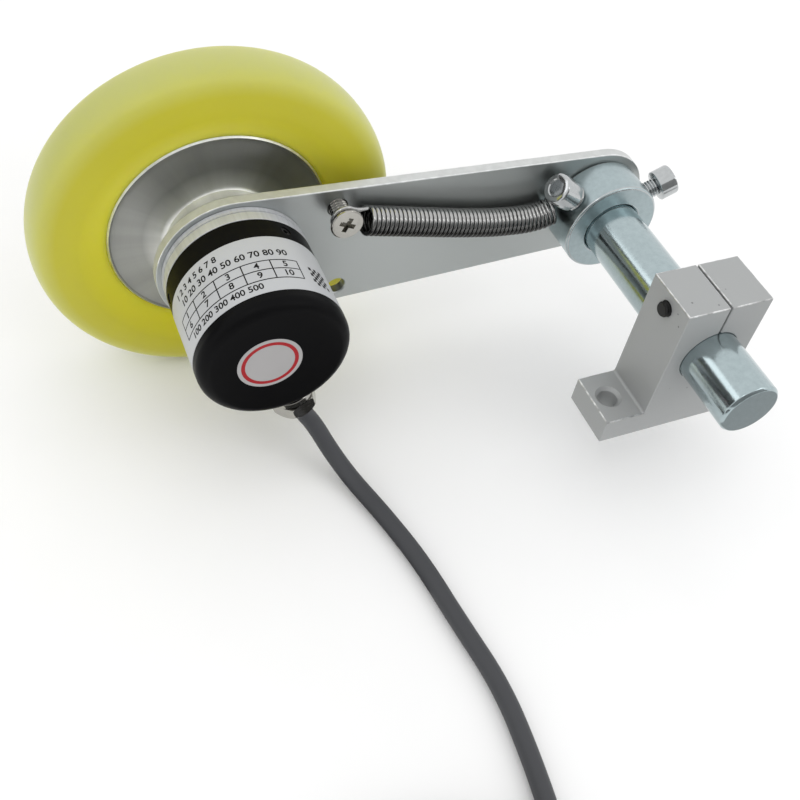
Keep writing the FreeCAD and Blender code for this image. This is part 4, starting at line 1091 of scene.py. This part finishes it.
class ENCODER_OT_shaft(bpy.types.Operator):
    """Models the pivot shaft with the washer and button screw that keep the arm on it"""

    bl_idname = "encoder.shaft"
    bl_label = "Pivot shaft"

    def execute(self, context):
        bar, journal, tapped = 8.0, 6.0, 3.1
        start, end = low("pivot_shaft").y, high("pivot_shaft").y
        shoulder = PLATE_FRONT - 0.1
        profile = (
            (0, start), (7.1, start), (7.4, start + 0.15), (bar, start + 0.9), (bar, shoulder),
            (journal, shoulder), (journal, end - 0.4), (journal - 0.4, end), (tapped, end),
            (tapped, end - 10), (0, end - 11),
        )
        shaft = on_axis(softened(lathe(profile, 128), 0.15, 2), PIVOT)
        settled(shaft, "plated_shaft", "shaft", "zinc", "zinc_plated_steel", "pivot_shaft")
        seat = high("retaining_washer").y
        ring = flat_ring(3.25, 10, low("retaining_washer").y, seat)
        washer = on_axis(softened(turned_ring(ring, 96), 0.3, 3), PIVOT)
        settled(washer, "plated_washer", "shaft", "bright_zinc", "zinc_plated_steel", "retaining_washer")
        screw = on_axis(self.button_screw(high("retaining_screw").y - seat), PIVOT, seat)
        settled(screw, "button_screw", "shaft", "bright_zinc", "zinc_plated_steel", "retaining_screw")
        return {"FINISHED"}

    def button_screw(self, head_h):
        """A button-head screw along Z, with its head on z = 0."""
        shank, shank_r, flat_r, dome_r, rim = 10, 2.98, 3.0, 2.25, 0.2
        points = [(shank_r, -shank), (shank_r, 0), (5.1, 0), (flat_r + dome_r, rim)]
        for angle in (0.3, 0.6, 0.9, 1.2, 1.4):
            points.append((flat_r + dome_r * math.cos(angle), rim + (head_h - rim) * math.sin(angle)))
        points.append((flat_r, head_h))
        socket = set_at(hexagon_bar(4.0, 4), (0, 0, 0.4 * head_h))
        return shaded(cut(turned_bar(points, 64), socket))


class ENCODER_OT_collar(bpy.types.Operator):
    """Models the tension collar, its lock screw and the spring's anchor screw"""

    bl_idname = "encoder.collar"
    bl_label = "Tension collar"

    # Each screw's name, node, angle round the collar, seat from the axis and head height
    SCREWS = (
        ("lock_screw", "collar_lock_screw", 24.0, 17.5, 5.0),
        ("anchor_screw", "spring_anchor_screw", ANCHOR_ANGLE, 16.0, 6.5),
    )

    def execute(self, context):
        outer, edge, shank_end = 14.0, 0.5, 8.2
        profile = (
            (BAR_BORE + edge, COLLAR_FRONT), (outer - edge, COLLAR_FRONT), (outer, COLLAR_FRONT + edge),
            (outer, COLLAR_BACK - edge), (outer - edge, COLLAR_BACK), (BAR_BORE + edge, COLLAR_BACK),
            (BAR_BORE, COLLAR_BACK - edge), (BAR_BORE, COLLAR_FRONT + edge),
        )
        collar = on_axis(edged(turned_ring(profile, 128), 0.15, 2, "dull_zinc", "bright_zinc"), PIVOT)
        hole = ((2.6, 7.5), (2.6, 16))
        for name, node, angle, seat, head_h in self.SCREWS:
            way = spoke(angle)
            cut(collar, set_at(turned_bar(hole, 48), COLLAR_MID, way))
            shank = seat - shank_end
            screw = cap_screw(diameter=5.0, shank=shank, head_d=8.5, head_h=head_h, socket=4.0, pitch=0.8)
            set_at(screw, COLLAR_MID + way * seat, way, turn=12)
            settled(screw, name, "collar", "bright_zinc", "zinc_plated_steel", node)
        shaded(collar)
        settled(collar, "plated_collar", "collar", None, "zinc_plated_steel", "tension_collar")
        return {"FINISHED"}


class ENCODER_OT_arm(bpy.types.Operator):
    """Models the arm plate with its holes, the pivot bush and the spring's post screw"""

    bl_idname = "encoder.arm"
    bl_label = "Arm plate"

    # Each plain hole's place and radius; the last is a spare hole for the spring's post
    HOLES = (
        (PIVOT.x, PIVOT.z, 7.05),
        (ENCODER.x, ENCODER.z, 10.05),
        (POST.x, POST.z, 2.55),
        (POST.x + 1.7, POST.z - 27.8, 2.5),
    )

    def execute(self, context):
        self.plate()
        bore, neck, flange, flange_end = 6.04, 7.0, 10, high("pivot_bush").y
        profile = (
            (bore, PLATE_FRONT), (neck, PLATE_FRONT), (neck, PLATE_BACK), (flange, PLATE_BACK),
            (flange, flange_end), (bore, flange_end),
        )
        bush = on_axis(softened(turned_ring(profile, 96), 0.25, 2), PIVOT)
        settled(bush, "bronze_bush", "arm", "bronze", "bearing_bronze", "pivot_bush")
        self.post_screw()
        return {"FINISHED"}

    def plate(self):
        """The tapered plate with round ends, broken edges and a milled rim."""
        big, small = 20.3, 16.0
        lean = math.degrees(math.acos((big - small) / (PIVOT.x - ENCODER.x)))
        outline = arc((PIVOT.x, PIVOT.z), small, lean, -lean, 48)
        outline += arc((ENCODER.x, ENCODER.z), big, 360 - lean, lean, 72)
        plate = set_at(prism(outline, PLATE_BACK - PLATE_FRONT), (0, PLATE_FRONT, 0))
        # The plate's upward broken edges get a painted highlight
        rubbed_above(edged(plate, sizes().edge / MM, 3, "plate", "plate_edge"))
        plate.data.materials.append(finish("plate_rim"))
        for face in plate.data.polygons:
            if abs(face.normal.y) < 0.05:
                face.material_index = 2
        # The drills start this far before the plate and end as far behind it
        over = 1
        depth = PLATE_BACK - PLATE_FRONT + 2 * over
        cone = over + 0.3
        tools = []
        for x, z, radius in self.HOLES:
            steps = ((radius + cone, 0), (radius, cone), (radius, depth - cone), (radius + cone, depth))
            tools.append(set_at(turned_bar(steps, 64), (x, PLATE_FRONT - over, z), ALONG_Y))
        screw_circle = 13.5
        steps = ((1.75, 0), (1.75, 2.4), (3.49, depth))
        for angle in (90, 210, 330):
            place = ENCODER + spoke(angle) * screw_circle
            tools.append(on_axis(turned_bar(steps, 48), place, PLATE_FRONT - over))
        shaded(cut(plate, *tools))
        settled(plate, "arm_sheet", "arm", None, "arm_aluminium", "arm_plate")

    def post_screw(self):
        """The cross-head screw that stands off the arm and holds the spring's loop."""
        top = low("spring_post_screw").y
        tip = top - high("spring_post_screw").y
        profile = [(0, tip), (2.1, tip)] + threaded(2.48, 0.8, tip + 0.2, -2.2)
        profile += [(2.5, -2.1), (4.15, -0.65), (4.3, -0.5), (4.3, -0.2), (4.2, -0.08), (3.9, 0.0), (0, 0.06)]
        screw = lathe(profile, 64)
        for turn in (65, 155):
            slit = cuboid((8.8, 2.0, 3.0))
            for vertex in slit.data.vertices:
                vertex.select = vertex.co.z < 0
            for face in slit.data.polygons:
                face.select = face.normal.z < -0.5
            bpy.ops.object.mode_set(mode="EDIT")
            bpy.ops.transform.resize(value=(0.5, 0.66, 1.0))
            bpy.ops.object.mode_set(mode="OBJECT")
            cut(screw, set_at(slit, (0, 0, 0), turn=turn))
        shaded(screw)
        set_at(screw, (POST.x, top, POST.z), (0, -1, 0))
        settled(screw, "post_screw", "arm", "nickel", "nickel_screw", "spring_post_screw")


class ENCODER_OT_spring(bpy.types.Operator):
    """Winds the tension spring between the post screw and the anchor screw"""

    bl_idname = "encoder.spring"
    bl_label = "Tension spring"

    def execute(self, context):
        props = sizes()
        thick, outside = props.spring_wire / MM, props.spring_diameter / MM
        gap, anchor_reach, per_turn = 0.45, 14.725, 14
        radius = (outside - thick) / 2
        y = PLATE_FRONT - gap - outside / 2
        line = [Vector((x, y, z)) for x, z in through(SPRING_LINE, 24)]
        turns = props.spring_turns + 0.2
        # A wire drawn through control points runs inside them, so they stand out by this much
        swell = 3 / (2 + math.cos(math.tau / per_turn))
        count = int(turns * per_turn)
        side = Vector(ALONG_Y)
        points = self.hook(Vector((POST.x, y, POST.z)))
        for step, (here, along) in enumerate(evenly(line, count)):
            rise = Vector((-along.z, 0, along.x))
            angle = math.tau * turns * step / count
            points.append(here + (side * math.sin(angle) + rise * math.cos(angle)) * radius * swell)
        points += self.loop(COLLAR_MID + spoke(ANCHOR_ANGLE) * anchor_reach)
        spring = meshed(wire("spring_wire", points, thick / 2, order=4, round_steps=3, run_steps=3))
        smoothed(spring, 60)
        self.mark_height(spring, line, radius)
        settled(spring, "wound_spring", None, "spring", "spring_steel", "tension_spring")
        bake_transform(spring)
        return {"FINISHED"}

    def mark_height(self, spring, line, radius):
        """Stores how high each point lies on its coil, as a share of the coil's radius."""
        heights = []
        for vertex in spring.data.vertices:
            place = vertex.co / MM
            nearest = min(line, key=lambda point: abs(point.x - place.x))
            heights.append(max(-1.0, min(1.0, (place.z - nearest.z) / radius)))
        mark = spring.data.attributes.new(COIL_HEIGHT, "FLOAT", "POINT")
        mark.data.foreach_set("value", heights)

    def hook(self, post):
        """The hook round the post screw, ending where the coils begin."""
        first, sweep, parts = -57, -263, 12
        centre = post + Vector((0.25, 0, 0))
        return [centre + spoke(first + sweep * step / parts) * LOOP_RADIUS for step in range(parts + 1)]

    def loop(self, anchor):
        """The end loop that runs from the coils round the far side of the anchor screw's shank."""
        first, sweep, parts = 300, 280, 12
        side, rise = Vector(ALONG_Y), spoke(ANCHOR_ANGLE - 90)
        points = []
        for step in range(parts + 1):
            angle = math.radians(first + sweep * step / parts)
            points.append(anchor + (side * math.cos(angle) + rise * math.sin(angle)) * LOOP_RADIUS)
        return points


class ENCODER_OT_encoder(bpy.types.Operator):
    """Models the encoder's turned flange, its black cover and the cable gland"""

    bl_idname = "encoder.encoder"
    bl_label = "Encoder body"

    def execute(self, context):
        register, neck, bore, groove = 16.9, 10, 7.5, BODY_RADIUS - 0.3
        front, back, face = low("encoder_flange").y, high("encoder_flange").y, PLATE_FRONT - 0.02
        line = PLATE_FRONT - 1.7
        profile = (
            (neck, front), (register, COVER_RIM - 6.0), (register, COVER_RIM - 0.05),
            (BODY_RADIUS - 0.1, COVER_RIM + 0.05), (BODY_RADIUS, COVER_RIM + 0.2), (BODY_RADIUS, line - 0.2),
            (groove, line - 0.12), (groove, line + 0.12), (BODY_RADIUS, line + 0.2),
            (BODY_RADIUS, PLATE_FRONT - 0.15), (BODY_RADIUS - 0.15, face),
            (neck, face), (neck, back), (bore, back), (bore, front),
        )
        flange = on_axis(shaded(turned_ring(profile, 128)), ENCODER)
        settled(flange, "turned_flange", "arm", "flange", "flange_aluminium", "encoder_flange")
        self.cover()
        self.gland()
        return {"FINISHED"}

    def cover(self):
        """The cup with its large round edge, cut for the rim screws and the gland."""
        fillet, inside, wall, screw_line = 3.0, 17.0, 2, 3.1
        points = [(BODY_RADIUS - fillet - 1.0, COVER_END)]
        points += arc((BODY_RADIUS - fillet, COVER_END + fillet), fillet, -90, 0, 10)
        points += [(BODY_RADIUS, COVER_RIM - 0.25), (BODY_RADIUS - 0.2, COVER_RIM)]
        points += [(inside, COVER_RIM), (inside, COVER_END + wall)]
        cover = on_axis(turned_bar(points, 144), ENCODER)
        level = (ENCODER.x, COVER_RIM - screw_line, ENCODER.z)
        hole = ((1.3, 15), (1.3, 18.85), (1.55, 19.1), (1.55, 21))
        tools = [set_at(turned_bar(hole, 32), level, spoke(angle)) for angle in (57.5, 177.5, 297.5)]
        spot = ((4.02, 15), (4.02, GLAND_SEAT), (5.75, GLAND_SEAT), (5.75, 22))
        tools.append(set_at(turned_bar(spot, 64), GLAND, GLAND_WAY))
        shaded(cut(cover, *tools))
        settled(cover, "cover_cup", "arm", "cover", "cover_aluminium", "encoder_cover")

    def gland(self):
        """The plated gland: a round seat and a domed hexagon nut."""
        base = GLAND + GLAND_WAY * GLAND_SEAT
        bore, thread, seat = 2.55, 4.0, 5.7
        profile = (
            (bore, -2.4), (thread, -2.4), (thread, 0), (seat - 0.2, 0), (seat, 0.2), (seat, 1.7),
            (seat - 0.3, 2.0), (thread, 2.0), (thread, 4), (bore, 4),
        )
        body = set_at(shaded(turned_ring(profile, 64)), base, GLAND_WAY)
        settled(body, "gland_seat", "arm", "nickel", "gland_nickel", "gland_body")
        nut = hexagon_bar(10.8, 5.4)
        domed = ((5.9, -0.1), (6.2, 0.4), (6.2, 3.2), (5.7, 4.1), (5.1, 4.8), (4.5, 5.2), (3.9, 5.4))
        dome = turned_bar(domed, 64)
        applied(nut, "BOOLEAN", operation="INTERSECT", solver="EXACT", object=dome)
        bpy.data.objects.remove(dome)
        cut(nut, turned_bar(((bore, -1), (bore, 5.0), (bore + 0.8, 5.8)), 48))
        softened(nut, 0.12, 2)
        set_at(nut, base + GLAND_WAY * 2.3, GLAND_WAY, turn=15)
        settled(nut, "gland_cap", "arm", "nickel", "gland_nickel", "gland_nut")


class ENCODER_OT_labels(bpy.types.Operator):
    """Wraps the plain ruled label round the cover and sets the ringed sticker on its end"""

    bl_idname = "encoder.labels"
    bl_label = "Label and sticker"

    # The film's end angles and Y stations
    FILM = (-40.0, 255.0, 24.7, 42.9)
    # The ruled table: end angles, Y stations of its lines, columns and the height of its numbers
    LEFT, RIGHT = 167.5, 62.5
    FOOT, MID, TOP = 28.7, 31.85, 34.7
    COLUMNS = 5
    CELL_TEXT = 2.6
    HALF_LINE, HALF_LINE_ANGLE = 0.14, 0.42
    # Rows of numbers beside the table: digits, angle, Y station and height
    ROWS = (
        ("1 2 3 4 5 6 7 8", 140, 40.2, 2.5),
        ("10 20 30 40 50 60 70 80 90", 113, 37.2, 2.7),
        ("100 200 300 400 500", 127, 26.9, 2.5),
    )
    # The checker patch: first angle, first Y station, angle of a square and squares along a side
    PATCH_ANGLE, PATCH_Y, PATCH_STEP, PATCH_COUNT = 38, 27.8, 2.6, 6
    # The ink's thickness, and the angle of one flat in a bent strip
    INK, FLAT = 0.02, 2.5

    def execute(self, context):
        lift = sizes().label_lift / MM
        film = self.strip(*self.FILM, BODY_RADIUS + 0.01, BODY_RADIUS + lift)
        settled(film, "label_film", "arm", "film", None)
        ink = (BODY_RADIUS + lift, BODY_RADIUS + lift + self.INK)
        rules = self.table(ink)
        for row in self.ROWS:
            rules.append(self.numbers(*row, *ink))
        for row in range(self.PATCH_COUNT):
            for column in range(row % 2, self.PATCH_COUNT, 2):
                angle, y = self.PATCH_ANGLE + self.PATCH_STEP * column, self.PATCH_Y + row
                rules.append(self.strip(angle, angle + self.PATCH_STEP, y, y + 1, *ink))
        settled(joined(*rules), "label_print", "arm", "ink", None)
        self.sticker()
        return {"FINISHED"}

    def table(self, ink):
        """The table's lines and the numbers in its cells."""
        width = self.LEFT - self.RIGHT
        rules = []
        for y in (self.FOOT, self.MID, self.TOP):
            rules.append(self.strip(self.RIGHT, self.LEFT, y - self.HALF_LINE, y + self.HALF_LINE, *ink))
        for column in range(self.COLUMNS + 1):
            angle = self.RIGHT + width * column / self.COLUMNS
            edges = (angle - self.HALF_LINE_ANGLE, angle + self.HALF_LINE_ANGLE)
            rules.append(self.strip(*edges, self.FOOT, self.TOP, *ink))
        for column in range(self.COLUMNS):
            angle = self.LEFT - width * (column + 0.5) / self.COLUMNS
            for number, y in ((column + 1, self.MID + self.TOP), (column + 6, self.FOOT + self.MID)):
                rules.append(self.numbers(str(number), angle, y / 2, self.CELL_TEXT, *ink))
        return rules

    def wrapped(self, piece, inner, outer):
        """Bends a flat piece, drawn as (degrees, Y, height share) in its mesh, round the encoder's axis."""
        for vertex in piece.data.vertices:
            reach = inner + (outer - inner) * vertex.co.z
            vertex.co = (Vector((ENCODER.x, vertex.co.y, ENCODER.z)) + spoke(vertex.co.x) * reach) * MM
        only(piece)
        bpy.ops.object.mode_set(mode="EDIT")
        bpy.ops.mesh.select_all(action="SELECT")
        bpy.ops.mesh.normals_make_consistent(inside=False)
        bpy.ops.object.mode_set(mode="OBJECT")
        return smoothed(piece, 30)

    def strip(self, first, last, start, end, inner, outer):
        """A thin strip from one angle to another and between two Y stations."""
        size = (last - first, end - start, 1)
        strip = cuboid(size, ((first + last) / 2, (start + end) / 2, 0.5), unit=1)
        bpy.ops.object.mode_set(mode="EDIT")
        parts = max(1, int((last - first) / self.FLAT))
        for step in range(1, parts):
            bpy.ops.mesh.select_all(action="SELECT")
            bpy.ops.mesh.bisect(plane_co=(first + (last - first) * step / parts, 0, 0), plane_no=(1, 0, 0))
        bpy.ops.object.mode_set(mode="OBJECT")
        return self.wrapped(strip, inner, outer)

    def numbers(self, digits, angle, y, size, inner, outer):
        """A row of plain numbers about an angle, made a mesh and wrapped like the strips."""
        fresh()
        bpy.ops.object.text_add()
        text = bpy.context.object
        text.data.body = digits
        text.data.size = size
        text.data.resolution_u = 4
        text.data.align_x = "CENTER"
        text.data.align_y = "CENTER"
        text.data.extrude = 0.5
        text.data.offset = 0.05
        bpy.ops.object.convert(target="MESH")
        text = bpy.context.object
        per_degree = math.radians(1) * outer
        for vertex in text.data.vertices:
            flat = vertex.co.copy()
            vertex.co = Vector((angle - flat.x / per_degree, y + flat.y, flat.z + 0.5))
        return self.wrapped(text, inner, outer)

    def sticker(self):
        """The pale round sticker, a little off the cover's middle, with one plain ring printed on it."""
        centre = (ENCODER.x - 1.85, COVER_END, ENCODER.z + 0.4)
        radius, thick = 8.0, 0.08
        disc = turned_bar(((radius, 0), (radius, 0.05), (radius - 0.1, thick)), 96)
        ring = turned_ring(flat_ring(6.1, 7.05, thick - 0.01, thick + self.INK), 96)
        for piece, name, finish_name in ((disc, "end_sticker", "sticker"), (ring, "sticker_ring", "red_ink")):
            set_at(shaded(piece), centre, (0, -1, 0))
            settled(piece, name, "arm", finish_name, None)


class ENCODER_OT_wheel(bpy.types.Operator):
    """Models the turned hub and the cast tyre"""

    bl_idname = "encoder.wheel"
    bl_label = "Wheel"

    def execute(self, context):
        self.hub()
        self.tyre()
        return {"FINISHED"}

    def hub(self):
        """The hub: a boss, a hollow cone out to a lip painted bright as a highlight, and a back turned out
        round its middle.
        """
        bore, boss, back_boss, rise, bow = 3.0, 15.0, 12, 2.2, 0.5
        face = HUB_FRONT + 6.5
        rim_front = face + rise
        hollow = HUB_BACK - 3.2
        profile = [
            (bore, HUB_FRONT), (boss - 0.4, HUB_FRONT), (boss, HUB_FRONT + 0.4), (boss, face - 0.5),
            (boss + 0.4, face),
        ]
        for step in range(1, 16):
            share = step / 16
            height = face + rise * share + 4 * bow * share * (1 - share)
            profile.append((boss + 0.4 + (HUB_RIM - 1.2 - boss) * share, height))
        profile += [
            (HUB_RIM - 1.0, rim_front - 0.1), (HUB_RIM - 0.75, rim_front - 0.4),
            (HUB_RIM - 0.5, rim_front - 0.45), (HUB_RIM - 0.1, rim_front - 0.05), (HUB_RIM, rim_front + 0.1),
            (HUB_RIM, HUB_BACK - 0.5), (HUB_RIM - 0.5, HUB_BACK), (HUB_RIM - 4, HUB_BACK),
            (HUB_RIM - 7.2, hollow), (back_boss + 0.5, hollow), (back_boss, hollow + 0.5),
            (back_boss, HUB_BACK - 0.4), (back_boss - 0.4, HUB_BACK), (bore, HUB_BACK),
        ]
        hub = on_axis(turned_ring(profile, 144), ENCODER)
        # The lip's front faces take the bright edge finish, a painted highlight round the rim
        for name in ("hub", "plate_edge"):
            hub.data.materials.append(finish(name))
        for patch in hub.data.polygons:
            outward = patch.center / MM - ENCODER
            on_lip = HUB_RIM - 0.6 < math.hypot(outward.x, outward.z) < HUB_RIM - 0.05
            if on_lip and patch.center.y / MM < rim_front + 0.1:
                patch.material_index = 1
        level = (ENCODER.x, HUB_FRONT + 3.2, ENCODER.z)
        hole = ((2.05, 2), (2.05, 14.7), (2.4, 15.05), (2.4, 17))
        cut(hub, *[set_at(turned_bar(hole, 40), level, spoke(angle)) for angle in (225, 315)])
        shaded(hub)
        settled(hub, "turned_hub", "wheel", None, "hub_aluminium", "wheel_hub")

    def tyre(self):
        """The bulging tyre bonded to the rim, with round shoulders and a belly at each side."""
        mid = middle("wheel_tyre").y
        radius, half = high("wheel_tyre").z - ENCODER.z, mid - RIM_FRONT
        belly = HUB_RIM + 0.423 * (radius - HUB_RIM)
        shoulder = belly + 0.8 * (radius - belly)
        shoulder_half, rim_half = 0.8 * half, 0.6 * half
        inside = HUB_RIM - 0.02
        stations = (
            (-rim_half, HUB_RIM), (-half, belly), (-shoulder_half, shoulder), (0, radius),
            (shoulder_half, shoulder), (half, belly), (rim_half, HUB_RIM),
        )
        points = [(r, mid + across) for across, r in through(stations, 12)]
        points += [(inside, mid + rim_half), (inside, mid - rim_half)]
        tyre = on_axis(shaded(turned_ring(points, 160), 50), ENCODER)
        settled(tyre, "cast_tyre", "wheel", "tyre", "tyre_polyurethane", "wheel_tyre")


class ENCODER_OT_inner(bpy.types.Operator):
    """Gives the pieces that stay as CAD nodes their finishes: bearings, disc, board and small screws"""

    bl_idname = "encoder.inner"
    bl_label = "Inner pieces"

    NODES_OF = {
        "black_screw": ("flange_screws", "cover_screws", "hub_set_screws"),
        "rubber": ("cover_seal", "gland_seal"),
        "bearing": (
            "front_bearing_outer_ring", "front_bearing_inner_ring", "front_bearing_balls",
            "rear_bearing_outer_ring", "rear_bearing_inner_ring", "rear_bearing_balls", "encoder_shaft",
        ),
        "flange": ("disc_hub",),
        "glass": ("code_disc",),
        "laminate": ("circuit_board",),
        "nickel": ("board_posts", "board_screws"),
        "black_plastic": ("light_reader", "lamp_block"),
    }

    def execute(self, context):
        for name, nodes in self.NODES_OF.items():
            for node in nodes:
                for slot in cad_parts[node].material_slots:
                    slot.material = finish(name)
        return {"FINISHED"}


OPERATORS = (
    ENCODER_OT_stage,
    ENCODER_OT_cable,
    ENCODER_OT_support,
    ENCODER_OT_shaft,
    ENCODER_OT_collar,
    ENCODER_OT_arm,
    ENCODER_OT_spring,
    ENCODER_OT_encoder,
    ENCODER_OT_labels,
    ENCODER_OT_wheel,
    ENCODER_OT_inner,
)
GROUPS = {
    "encoder_sizes": EncoderSizes,
    "encoder_colours": EncoderColours,
    "encoder_stage": EncoderStage,
}


class ENCODER_PT_panel(bpy.types.Panel):
    """Lists the sizes, colours and steps of the measuring wheel encoder"""

    bl_idname = "ENCODER_PT_panel"
    bl_label = "Measuring wheel encoder"
    bl_space_type = "VIEW_3D"
    bl_region_type = "UI"
    bl_category = "Encoder"

    def draw(self, context):
        layout = self.layout
        for name, group in GROUPS.items():
            for key in group.__annotations__:
                layout.prop(getattr(context.scene, name), key)
        for step in OPERATORS:
            layout.operator(step.bl_idname)


def register():
    for name, group in GROUPS.items():
        bpy.utils.register_class(group)
        setattr(bpy.types.Scene, name, PointerProperty(type=group))
    for step in OPERATORS:
        bpy.utils.register_class(step)
    bpy.utils.register_class(ENCODER_PT_panel)


def unregister():
    bpy.utils.unregister_class(ENCODER_PT_panel)
    for step in reversed(OPERATORS):
        bpy.utils.unregister_class(step)
    for name, group in GROUPS.items():
        delattr(bpy.types.Scene, name)
        bpy.utils.unregister_class(group)


def main():
    register()
    bpy.ops.encoder.stage()
    bpy.ops.encoder.cable()
    bpy.ops.encoder.support()
    bpy.ops.encoder.shaft()
    bpy.ops.encoder.collar()
    bpy.ops.encoder.arm()
    bpy.ops.encoder.spring()
    bpy.ops.encoder.encoder()
    bpy.ops.encoder.labels()
    bpy.ops.encoder.wheel()
    bpy.ops.encoder.inner()
    fresh()


if __name__ == "__main__":
    main()
